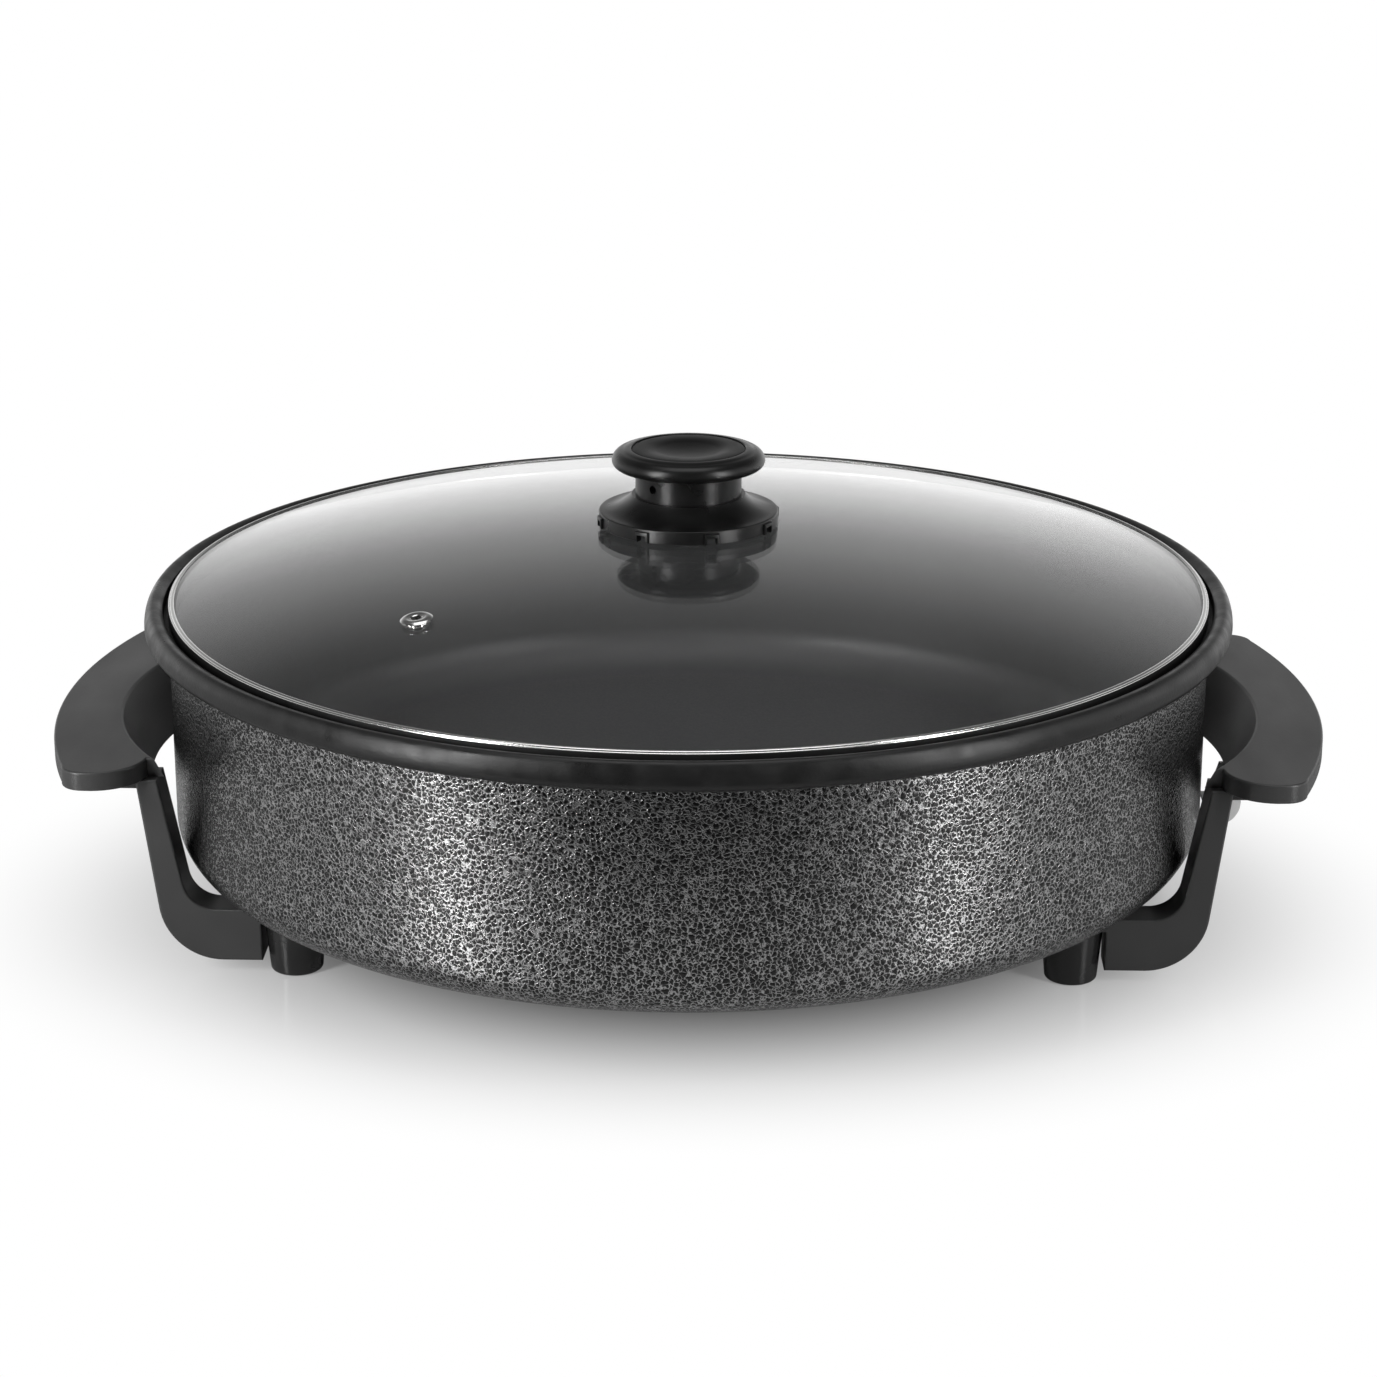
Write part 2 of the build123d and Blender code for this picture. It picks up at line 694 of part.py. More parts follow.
with BuildPart() as lid_band:
    with BuildSketch(Plane.XZ):
        with BuildLine():
            over = ThreePointArc(*dome_points(band_in_r, band_shoulder_r, -band_t))
            top_turn = TangentArc(over @ 1, (band_r, (over @ 1).Y - band_soft), tangent=over % 1)
            Line(top_turn @ 1, (band_r, lid_seat_z + band_soft))
            low_turn = CenterArc((band_shoulder_r, lid_seat_z + band_soft), band_soft, 0, -90)
            Polyline(
                low_turn @ 1,
                (land_in_r, lid_seat_z),
                (band_in_r, dome_z(band_in_r, glass_t + band_t)),
                (band_in_r, dome_z(band_in_r, glass_t)),
            )
            under = ThreePointArc(*dome_points(band_in_r, glass_r, glass_t))
            Polyline(
                under @ 1,
                (glass_r + running, (under @ 1).Y),
                (glass_r + running, dome_z(glass_r)),
                (glass_r, dome_z(glass_r)),
            )
            ThreePointArc(*dome_points(glass_r, band_in_r))
            Line((band_in_r, dome_z(band_in_r)), over @ 0)
        make_face()
    revolve(axis=Axis.Z)
save(lid_band, "lid_band")

# The eyelet's two flanges follow the glass, because the glass is cut from them.
with BuildPart() as vent_eyelet:
    with BuildSketch(vent_plane.offset(vent_flange_t)):
        Circle(vent_flange_r)
    extrude(amount=-vent_flange_t - 0.4)
    with BuildSketch(vent_plane):
        Circle(vent_tube_r)
    extrude(amount=-glass_t - 1.0)
    with BuildSketch(vent_plane.offset(-glass_t - 1.0)):
        Circle(vent_curl_r)
    extrude(amount=1.4)
    add(lid_glass.part, mode=Mode.SUBTRACT)
    with BuildSketch(vent_plane.offset(vent_flange_t + 1)):
        Circle(vent_hole_r)
    extrude(amount=-glass_t - 8.0, mode=Mode.SUBTRACT)
save(vent_eyelet, "vent_eyelet")


# ---------------------------------------------------------------- knob
gasket_top_z = lid_top_z + gasket_t

with BuildPart() as knob_gasket:
    with BuildSketch(Plane.XZ):
        with BuildLine():
            bottom = ThreePointArc(*dome_points(glass_hole_r, hub_r))
            Polyline(bottom @ 1, (hub_r, gasket_top_z), (glass_hole_r, gasket_top_z), bottom @ 0)
        make_face()
    revolve(axis=Axis.Z)
save(knob_gasket, "knob_gasket")

with BuildPart() as knob_skirt:
    with BuildSketch(Plane.XZ):
        with BuildLine():
            Polyline(
                (m5_clear_r, gasket_top_z),
                (hub_r, gasket_top_z),
                (hub_r, neck_low_z - 4.5),
                (inlay_r - 1.0, neck_low_z - 4.5),
                (27.0, skirt_band_z - 0.4),
                (skirt_r - skirt_wall, skirt_band_z - 2.4),
                (skirt_r - skirt_wall, skirt_low_z),
                (skirt_r, skirt_low_z),
                (skirt_r, skirt_band_z - 0.6),
                (skirt_r - 0.6, skirt_band_z),
            )
            flare = ThreePointArc(
                (skirt_r - 0.6, skirt_band_z),
                (27.4, skirt_band_z + 2.0),
                (skirt_top_r, neck_low_z),
            )
            Polyline(flare @ 1, (m5_clear_r, neck_low_z), (m5_clear_r, gasket_top_z))
        make_face()
    revolve(axis=Axis.Z)
    # hooded notches round the lower edge
    with Locations((0, 0, skirt_low_z)):
        with PolarLocations(skirt_r - skirt_wall + 0.4, notch_count, notch_first):
            Box(
                skirt_wall - 0.4 + hood_proud,
                hood_w,
                hood_h,
                align=(Align.MIN, Align.CENTER, Align.MIN),
            )
        with PolarLocations(skirt_r - skirt_wall - 2.0, notch_count, notch_first):
            Box(
                skirt_wall + 5.0,
                notch_w,
                notch_h,
                align=(Align.MIN, Align.CENTER, Align.MIN),
                mode=Mode.SUBTRACT,
            )
save(knob_skirt, "knob_skirt")

with BuildPart() as knob_grip:
    with BuildSketch(Plane.XZ):
        with BuildLine():
            Polyline(
                (0, inlay_peg_z),
                (0, neck_low_z),
                (neck_r, neck_low_z),
                (neck_r, cap_low_z - 1.2),
            )
            under_turn = ThreePointArc(
                (neck_r, cap_low_z - 1.2),
                (neck_r + 1.0, cap_low_z - 0.35),
                (neck_r + 2.4, cap_low_z),
            )
            Line(under_turn @ 1, (cap_under_r - 0.8, cap_low_z))
            edge_low = ThreePointArc(
                (cap_under_r - 0.8, cap_low_z),
                (cap_under_r + 1.3, cap_low_z + 0.9),
                (cap_r, cap_wide_z),
            )
            edge_top = ThreePointArc(
                edge_low @ 1,
                (cap_r - 1.2, cap_wide_z + 2.6),
                (26.0, cap_top_z - 0.7),
            )
            crown = ThreePointArc(edge_top @ 1, (24.4, cap_top_z - 0.15), (inlay_seat_r + 0.5, cap_top_z))
            Polyline(
                crown @ 1,
                (inlay_seat_r, cap_top_z - 0.5),
                (inlay_seat_r, inlay_seat_z),
                (inlay_peg_r + running, inlay_seat_z),
                (inlay_peg_r + running, inlay_peg_z),
                (0, inlay_peg_z),
            )
        make_face()
    revolve(axis=Axis.Z)
    with BuildSketch(Plane.XY.offset(neck_low_z)):
        Circle(insert_r)
    extrude(amount=insert_len, mode=Mode.SUBTRACT)
    # the small hole in the side of the neck
    with Locations(Location((0, 0, pin_hole_z), (0, 0, pin_hole_angle))):
        with Locations(Location((neck_r + 1, 0, 0), (0, -90, 0))):
            Cylinder(
                pin_hole_r,
                pin_hole_depth + 1,
                align=(Align.CENTER, Align.CENTER, Align.MIN),
                mode=Mode.SUBTRACT,
            )
save(knob_grip, "knob_grip")

with BuildPart() as knob_inlay:
    with BuildSketch(Plane.XZ):
        with BuildLine():
            dish = ThreePointArc(
                (0, cap_top_z - 0.1 - dish_depth),
                (8.0, cap_top_z - 0.1 - 0.82 * dish_depth),
                (14.0, cap_top_z - 0.1 - 0.45 * dish_depth),
            )
            roll = ThreePointArc(dish @ 1, (17.2, cap_top_z - 0.25), (inlay_r - 0.8, cap_top_z - 0.1))
            Polyline(
                roll @ 1,
                (inlay_r, cap_top_z - 0.8),
                (inlay_r, inlay_seat_z),
                (inlay_peg_r, inlay_seat_z),
                (inlay_peg_r, inlay_peg_z),
                (0, inlay_peg_z),
                (0, cap_top_z - 0.1 - dish_depth),
            )
        make_face()
    revolve(axis=Axis.Z)
save(knob_inlay, "knob_inlay")

with BuildPart() as knob_insert:
    with BuildSketch(Plane.XY.offset(neck_low_z)):
        Circle(insert_r)
    extrude(amount=insert_len)
    with BuildSketch(Plane.XY.offset(neck_low_z)):
        Circle(m5_bore_r)
    extrude(amount=insert_len - 1.0, mode=Mode.SUBTRACT)
save(knob_insert, "knob_insert")

washer_low_z = dome_z(0, glass_t) - washer_t

with BuildPart() as knob_washer:
    with BuildSketch(Plane.XZ):
        with BuildLine():
            seat = ThreePointArc(*dome_points(glass_hole_r, washer_r, glass_t))
            Polyline(seat @ 1, (washer_r, washer_low_z), (glass_hole_r, washer_low_z), seat @ 0)
        make_face()
    revolve(axis=Axis.Z)
save(knob_washer, "knob_washer")

with BuildPart() as knob_screw:
    with BuildSketch(Plane.XY.offset(washer_low_z - m5_head_t)):
        Circle(m5_head_r)
    extrude(amount=m5_head_t)
    with BuildSketch(Plane.XY.offset(washer_low_z)):
        Circle(m5_shank_r)
    extrude(amount=knob_shank_len)
    with BuildSketch(Plane.XY.offset(washer_low_z - m5_head_t)):
        Rectangle(m5_slot[0], m5_slot[1])
        Rectangle(m5_slot[1], m5_slot[0])
    extrude(amount=m5_slot[2], mode=Mode.SUBTRACT)
save(knob_screw, "knob_screw")
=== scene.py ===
"""Dresses the electric skillet: enamelled pan, glass lid, turned knob, grips, legs, feet and heater.

Metres, +Z up, the table at z = 0, the pan's axis on Z and the front towards -Y. The sizes in the
classes are millimetres, and MM turns them into metres where a mesh is made.
"""

import logging
import math
from collections.abc import Callable, Iterable, Iterator, Sequence
from contextlib import contextmanager
from dataclasses import dataclass, field
from enum import Enum

import bmesh
import bpy
from mathutils import Matrix, Vector


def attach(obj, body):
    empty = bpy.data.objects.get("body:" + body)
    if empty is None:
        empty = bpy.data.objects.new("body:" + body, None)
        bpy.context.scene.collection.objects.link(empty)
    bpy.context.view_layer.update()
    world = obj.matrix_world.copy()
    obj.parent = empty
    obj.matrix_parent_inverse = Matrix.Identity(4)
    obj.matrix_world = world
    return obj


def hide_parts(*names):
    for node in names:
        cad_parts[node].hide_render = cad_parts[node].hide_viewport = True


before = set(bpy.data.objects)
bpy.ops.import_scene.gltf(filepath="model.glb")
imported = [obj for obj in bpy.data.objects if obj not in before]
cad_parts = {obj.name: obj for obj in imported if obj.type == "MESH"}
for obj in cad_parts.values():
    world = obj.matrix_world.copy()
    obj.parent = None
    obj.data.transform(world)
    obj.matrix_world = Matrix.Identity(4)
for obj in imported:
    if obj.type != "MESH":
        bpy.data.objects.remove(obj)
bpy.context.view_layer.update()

log = logging.getLogger("skillet")

MM = 0.001
TURN_STEPS = 256
KNOB_STEPS = 160
SMALL_STEPS = 64
SCREW_STEPS = 40
BORE_STEPS = 32
SHARP_ANGLE = math.radians(32)
WELD = 1e-6

# Distances in millimetres that count as none, and how far a face looks to Z or up to count as inside.
SAME_SPOT = 1e-6
NEAR = 0.01
INWARD = -1e-5
UPWARD = 1e-3

# Sizes in millimetres that more than one sub-assembly uses.
LEDGE_Z = 130.96
FOOT_X, FOOT_Y = 151.0, 74.0
FOOT_HEIGHT = 22.0
EAR_X = 222.0
GRIP_LOW_Z = 80.0

Point2 = tuple[float, float]
Point3 = tuple[float, float, float]
Colour = tuple[float, float, float]
Socket = bpy.types.NodeSocket
Piece = bpy.types.Object
Shell = bmesh.types.BMesh


class Body(Enum):
    """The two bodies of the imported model."""

    SKILLET = "skillet"
    LID = "lid"


class Hand(Enum):
    """Left or right of the pan, as a sign on X."""

    RIGHT = 1
    LEFT = -1


class Row(Enum):
    """Front or back of the pan, as a sign on Y."""

    FRONT = -1
    BACK = 1


# ---------------------------------------------------------------- node trees


class NodeSketch:
    """Adds nodes to a tree and links them."""

    def __init__(self, tree: bpy.types.NodeTree) -> None:
        """Keeps the tree and empties it."""
        self.tree = tree
        tree.nodes.clear()

    def add(self, kind: str, feeds: dict | None = None, **settings: object) -> bpy.types.Node:
        """Adds one node.

        Args:
            kind: The node's type name.
            feeds: What goes into its inputs, by socket name or number: a value or an output socket.
            **settings: Properties of the node.

        Returns:
            The new node.
        """
        node = self.tree.nodes.new(kind)
        for key, value in settings.items():
            setattr(node, key, value)
        for key, value in (feeds or {}).items():
            if isinstance(value, Socket):
                self.tree.links.new(value, node.inputs[key])
            else:
                node.inputs[key].default_value = value
        return node

    def out(self, kind: str, feeds: dict | None = None, socket: int | str = 0, **settings: object) -> Socket:
        """Adds one node and gives one of its outputs.

        Args:
            kind: The node's type name.
            feeds: What goes into its inputs.
            socket: The output's name or number.
            **settings: Properties of the node.

        Returns:
            The output.
        """
        return self.add(kind, feeds, **settings).outputs[socket]

    def math(self, operation: str, first: object, second: object = 0.0) -> Socket:
        """Adds a Math node and gives its output."""
        return self.out("ShaderNodeMath", {0: first, 1: second}, operation=operation)

    def whole(self, operation: str, first: object, second: object) -> Socket:
        """Adds an Integer Math node and gives its output."""
        return self.out("FunctionNodeIntegerMath", {0: first, 1: second}, operation=operation)

    def vector(self, operation: str, first: object, second: object) -> Socket:
        """Adds a Vector Math node and gives its output."""
        return self.out("ShaderNodeVectorMath", {0: first, 1: second}, operation=operation)

    def noise(self, place: Socket, scale: float, detail: float, socket: str = "Fac") -> Socket:
        """Adds a Noise Texture node and gives one of its outputs."""
        return self.out("ShaderNodeTexNoise", {"Vector": place, "Scale": scale, "Detail": detail}, socket)

    def spread(
        self, value: Socket, source: tuple, target: Point2 = (0.0, 1.0), smooth: bool = False
    ) -> Socket:
        """Adds a Map Range node.

        Args:
            value: What is mapped.
            source: The two ends that it is mapped from.
            target: The two ends that it is mapped to.
            smooth: True if the change eases in and out.

        Returns:
            Its output.
        """
        feeds = dict(zip(("From Min", "From Max", "To Min", "To Max"), (*source, *target)))
        curve = "SMOOTHSTEP" if smooth else "LINEAR"
        return self.out("ShaderNodeMapRange", {"Value": value, **feeds}, interpolation_type=curve)

    def blend(self, share: Socket, first: Colour, second: Colour) -> Socket:
        """Adds a Mix node between two colours and gives its output."""
        feeds = {"Factor": share, 6: (*first, 1.0), 7: (*second, 1.0)}
        return self.out("ShaderNodeMix", feeds, 2, data_type="RGBA")

    def bump(self, height: Socket, strength: float, distance: float) -> Socket:
        """Adds a Bump node and gives its output."""
        return self.out("ShaderNodeBump", {"Height": height, "Strength": strength, "Distance": distance})

    def either(self, share: Socket, first: Socket, second: Socket) -> Socket:
        """Adds a Mix Shader node and gives its output."""
        return self.out("ShaderNodeMixShader", {0: share, 1: first, 2: second})


class ShapeTree:
    """A Geometry Nodes tree with named inputs, and what runs it."""

    title = "shape"
    sockets: tuple[tuple[str, str], ...] = ()

    def __init__(self) -> None:
        """Makes the tree with its inputs and its output."""
        self.tree = bpy.data.node_groups.new(self.title, "GeometryNodeTree")
        self.sketch = NodeSketch(self.tree)
        face = self.tree.interface
        face.new_socket("Geometry", in_out="INPUT", socket_type="NodeSocketGeometry")
        for name, kind in self.sockets:
            face.new_socket(name, in_out="INPUT", socket_type="NodeSocket" + kind)
        face.new_socket("Finish", in_out="INPUT", socket_type="NodeSocketMaterial")
        face.new_socket("Geometry", in_out="OUTPUT", socket_type="NodeSocketGeometry")
        self.given = self.sketch.add("NodeGroupInput").outputs
        self.end(self.draw())

    def draw(self) -> Socket:
        """Draws the tree's own part and gives the geometry it ends with."""
        raise NotImplementedError

    def end(self, shape: Socket) -> None:
        """Realizes the instances, sets the material and closes the tree.

        Args:
            shape: The geometry that the tree's own part ends with.
        """
        real = self.sketch.out("GeometryNodeRealizeInstances", {"Geometry": shape})
        feeds = {"Geometry": real, "Material": self.given["Finish"]}
        dressed = self.sketch.out("GeometryNodeSetMaterial", feeds)
        self.sketch.add("NodeGroupOutput", {0: dressed})

    def copies(self, points: Socket, **feeds: Socket) -> Socket:
        """Sets a copy of the tree's own geometry on each point.

        Args:
            points: The points.
            **feeds: What goes into the node's other inputs.

        Returns:
            The copies.
        """
        feeds = {"Points": points, "Instance": self.given["Geometry"], **feeds}
        return self.sketch.out("GeometryNodeInstanceOnPoints", feeds)

    def attach(self, piece: Piece, **values: object) -> None:
        """Fits the tree to an object as a live modifier.

        Args:
            piece: The object whose mesh goes into the tree.
            **values: The inputs, by name, with _ for a space.
        """
        modifier = piece.modifiers.new(self.title, "NODES")
        modifier.node_group = self.tree
        for item in self.tree.interface.items_tree:
            key = item.name.lower().replace(" ", "_")
            if item.in_out == "INPUT" and key in values:
                modifier[item.identifier] = values[key]

    def run(self, piece: Piece, **values: object) -> Piece:
        """Runs the tree on a piece and leaves a plain mesh.

        Args:
            piece: The object whose mesh goes into the tree.
            **values: The inputs, by name, with _ for a space.

        Returns:
            The same object, with its new mesh.
        """
        self.attach(piece, **values)
        settle(piece)
        dress(piece.data, values["finish"])
        return piece


class Lathe(ShapeTree):
    """Turns a drawn section about Z. The section's points are the vertices of the mesh it is given."""

    title = "lathe"
    sockets = (("Steps", "Int"),)

    def draw(self) -> Socket:
        """Draws a grid and rolls it up: one column for each step, one vertex for each section point.

        Returns:
            The turned mesh.
        """
        sk, drawn, steps = self.sketch, self.given["Geometry"], self.given["Steps"]
        rows = sk.out("GeometryNodeAttributeDomainSize", {"Geometry": drawn}, "Point Count")
        columns = sk.whole("ADD", steps, 1)
        grid = sk.out("GeometryNodeMeshGrid", {"Vertices X": columns, "Vertices Y": rows}, "Mesh")
        index = sk.out("GeometryNodeInputIndex")
        feeds = {
            "Geometry": drawn,
            "Index": sk.whole("MODULO", index, rows),
            "Value": sk.out("GeometryNodeInputPosition"),
        }
        point = sk.out("GeometryNodeSampleIndex", feeds, "Value", data_type="FLOAT_VECTOR", domain="POINT")
        apart = sk.add("ShaderNodeSeparateXYZ", {0: point}).outputs
        column = sk.whole("DIVIDE_FLOOR", index, rows)
        angle = sk.math("MULTIPLY", sk.math("DIVIDE", column, steps), math.tau)
        x = sk.math("MULTIPLY", apart[0], sk.math("COSINE", angle))
        y = sk.math("MULTIPLY", apart[0], sk.math("SINE", angle))
        spot = sk.out("ShaderNodeCombineXYZ", {0: x, 1: y, 2: apart[2]})
        rolled = sk.out("GeometryNodeSetPosition", {"Geometry": grid, "Position": spot})
        return sk.out("GeometryNodeMergeByDistance", {"Geometry": rolled, "Distance": WELD})


class RingOf(ShapeTree):
    """Sets copies of a pattern round Z at even angles."""

    title = "ring of copies"
    sockets = (("Count", "Int"), ("First Angle", "Float"))

    def draw(self) -> Socket:
        """Draws points at the centre and turns one copy of the pattern at each.

        Returns:
            The copies.
        """
        sk, given = self.sketch, self.given
        points = sk.out("GeometryNodePoints", {"Count": given["Count"]})
        step = sk.math("DIVIDE", math.tau, given["Count"])
        turned = sk.math("MULTIPLY", sk.out("GeometryNodeInputIndex"), step)
        angle = sk.math("ADD", turned, given["First Angle"])
        return self.copies(points, Rotation=sk.out("ShaderNodeCombineXYZ", {2: angle}))


class RowsOf(ShapeTree):
    """Sets copies of a pattern in rows and columns about a centre."""

    title = "rows of copies"
    sockets = (
        ("Columns", "Int"),
        ("Rows", "Int"),
        ("Column Pitch", "Float"),
        ("Row Pitch", "Float"),
        ("Centre", "Vector"),
    )

    def draw(self) -> Socket:
        """Draws one point for each place and sets a copy of the pattern there.

        Returns:
            The copies.
        """
        sk, given = self.sketch, self.given
        count = sk.whole("MULTIPLY", given["Columns"], given["Rows"])
        points = sk.out("GeometryNodePoints", {"Count": count})
        index = sk.out("GeometryNodeInputIndex")
        spot = {}
        for axis, (operation, number, pitch) in enumerate(
            (("MODULO", "Columns", "Column Pitch"), ("DIVIDE_FLOOR", "Rows", "Row Pitch"))
        ):
            step = sk.whole(operation, index, given["Columns"])
            middle = sk.math("MULTIPLY", sk.math("SUBTRACT", given[number], 1.0), 0.5)
            spot[axis] = sk.math("MULTIPLY", sk.math("SUBTRACT", step, middle), given[pitch])
        place = sk.vector("ADD", sk.out("ShaderNodeCombineXYZ", spot), given["Centre"])
        return self.copies(sk.out("GeometryNodeSetPosition", {"Geometry": points, "Position": place}))


class TubeAlong(ShapeTree):
    """Sweeps a round tube along the line of edges that it is given."""

    title = "tube along a line"
    sockets = (("Radius", "Float"), ("Sides", "Int"))

    def draw(self) -> Socket:
        """Draws a circle and sweeps it along the line, with closed ends.

        Returns:
            The tube.
        """
        sk, given = self.sketch, self.given
        line = sk.out("GeometryNodeMeshToCurve", {"Mesh": given["Geometry"]})
        round_feeds = {"Resolution": given["Sides"], "Radius": given["Radius"]}
        ring = sk.out("GeometryNodeCurvePrimitiveCircle", round_feeds)
        return sk.out("GeometryNodeCurveToMesh", {"Curve": line, "Profile Curve": ring, "Fill Caps": True})


class SoftEdges(ShapeTree):
    """Welds a CAD node's loose triangles and shades its curved faces smooth."""

    title = "soft edges"
    sockets = (("Sharp Angle", "Float"),)

    def draw(self) -> Socket:
        """Draws the weld, smooth faces, and sharp edges where faces meet at more than the angle.

        Returns:
            The shaded mesh.
        """
        sk, given, shade = self.sketch, self.given, "GeometryNodeSetShadeSmooth"
        merged = sk.out("GeometryNodeMergeByDistance", {"Geometry": given["Geometry"], "Distance": WELD})
        smooth = sk.out(shade, {"Geometry": merged}, domain="FACE")
        angle = sk.out("GeometryNodeInputMeshEdgeAngle", None, "Unsigned Angle")
        feeds = {"A": angle, "B": given["Sharp Angle"]}
        soft = sk.out("FunctionNodeCompare", feeds, data_type="FLOAT", operation="LESS_THAN")
        return sk.out(shade, {"Geometry": smooth, "Shade Smooth": soft}, domain="EDGE")


# ---------------------------------------------------------------- meshes


def settle(piece: Piece) -> Piece:
    """Turns a piece's evaluated shape into its plain mesh and takes its modifiers off.

    Args:
        piece: The piece.

    Returns:
        The same piece.
    """
    graph = bpy.context.evaluated_depsgraph_get()
    graph.update()
    mesh = bpy.data.meshes.new_from_object(piece.evaluated_get(graph), depsgraph=graph)
    mesh.name = piece.name
    piece.modifiers.clear()
    piece.data = mesh
    return piece


def dress(mesh: bpy.types.Mesh, material: bpy.types.Material) -> None:
    """Gives every face of a mesh one material.

    Args:
        mesh: The mesh.
        material: Its only material.
    """
    mesh.materials.clear()
    mesh.materials.append(material)
    mesh.polygons.foreach_set("material_index", [0] * len(mesh.polygons))


def placed(name: str, data: bpy.types.ID) -> Piece:
    """Makes an object and links it to the scene.

    Args:
        name: The object's name.
        data: Its mesh, lamp or camera.

    Returns:
        The new object.
    """
    thing = bpy.data.objects.new(name, data)
    bpy.context.scene.collection.objects.link(thing)
    return thing


def new_piece(name: str, points: Iterable[Point3], edges: Sequence = (), faces: Sequence = ()) -> Piece:
    """Makes an object from points in millimetres.

    Args:
        name: The object's name.
        points: Its vertices, in millimetres.
        edges: Pairs of vertex numbers.
        faces: Loops of vertex numbers.

    Returns:
        The new object, linked to the scene.
    """
    mesh = bpy.data.meshes.new(name)
    mesh.from_pydata([tuple(c * MM for c in p) for p in points], edges, faces)
    return placed(name, mesh)


def shift(x: float, y: float, z: float = 0.0) -> Matrix:
    """Gives a move by millimetres."""
    return Matrix.Translation(Vector((x, y, z)) * MM)


@contextmanager
def opened(mesh: bpy.types.Mesh) -> Iterator[Shell]:
    """Opens a mesh for changes and writes them back at the end.

    Args:
        mesh: The mesh.

    Yields:
        The mesh as a BMesh, while the with block runs.
    """
    shell = bmesh.new()
    shell.from_mesh(mesh)
    yield shell
    shell.to_mesh(mesh)
    shell.free()


def face_outwards(mesh: bpy.types.Mesh) -> None:
    """Welds a closed mesh, makes its faces agree and turns them outwards.

    Args:
        mesh: The mesh.
    """
    with opened(mesh) as shell:
        bmesh.ops.remove_doubles(shell, verts=shell.verts, dist=WELD)
        bmesh.ops.dissolve_degenerate(shell, edges=shell.edges, dist=WELD)
        bmesh.ops.recalc_face_normals(shell, faces=shell.faces)
        if shell.calc_volume(signed=True) < 0:
            bmesh.ops.reverse_faces(shell, faces=shell.faces)


def smooth(mesh: bpy.types.Mesh, angle: float = SHARP_ANGLE) -> None:
    """Shades a mesh smooth, apart from edges that turn by more than the angle."""
    mesh.shade_smooth()
    mesh.set_sharp_from_angle(angle=angle)


def keep_flats_flat(piece: Piece) -> Piece:
    """Lets the large faces set the normals, so that flats stay flat beside small rounded edges.

    Args:
        piece: The piece.

    Returns:
        The same piece, as a plain mesh.
    """
    modifier = piece.modifiers.new("flat faces", "WEIGHTED_NORMAL")
    modifier.keep_sharp = True
    return settle(piece)


def combine(piece: Piece, tools: Sequence[Piece], operation: str) -> Piece:
    """Adds tools to a piece or cuts them from it, and removes the tools.

    Args:
        piece: The piece that is changed.
        tools: Closed shapes.
        operation: UNION or DIFFERENCE.

    Returns:
        The piece.
    """
    for tool in tools:
        modifier = piece.modifiers.new(operation.lower(), "BOOLEAN")
        modifier.operation = operation
        modifier.solver = "EXACT"
        modifier.object = tool
    settle(piece)
    for tool in tools:
        bpy.data.objects.remove(tool)
    return piece


def cut_out(piece: Piece, tool: Piece) -> Piece:
    """Cuts a tool from a piece, which keeps its own finish all over.

    Args:
        piece: The piece that is cut.
        tool: What is cut from it, which is removed.

    Returns:
        The piece.
    """
    combine(piece, [tool], "DIFFERENCE")
    dress(piece.data, piece.data.materials[0])
    smooth(piece.data)
    return piece


def outwardness(face: bpy.types.MeshPolygon) -> float:
    """Says how far a face looks away from Z (above 0) or towards it (below 0)."""
    return face.normal.x * face.center.x + face.normal.y * face.center.y


def box_piece(low: Point3, high: Point3) -> Piece:
    """Makes a box between two corners, in millimetres.

    Args:
        low: Its lowest corner.
        high: Its highest corner.

    Returns:
        The new object.
    """
    spots = [(x, y, z) for x in (low[0], high[0]) for y in (low[1], high[1]) for z in (low[2], high[2])]
    faces = [(0, 1, 3, 2), (4, 6, 7, 5), (0, 4, 5, 1), (2, 3, 7, 6), (0, 2, 6, 4), (1, 5, 7, 3)]
    piece = new_piece("box", spots, faces=faces)
    face_outwards(piece.data)
    return piece


def soften(shell: Shell, chosen: Callable[[Vector, Vector], bool], width: float, steps: int) -> None:
    """Rounds the edges whose two ends pass a test.

    Args:
        shell: The mesh, in metres.
        chosen: Gets an edge's two ends in millimetres and says whether the edge is rounded.
        width: Width of the rounding, in millimetres.
        steps: Faces across it.
    """
    edges = [e for e in shell.edges if chosen(e.verts[0].co / MM, e.verts[1].co / MM)]
    bmesh.ops.bevel(
        shell, geom=edges, offset=width * MM, offset_type="OFFSET",
        segments=steps, profile=0.5, affect="EDGES", clamp_overlap=True,
    )  # fmt: skip


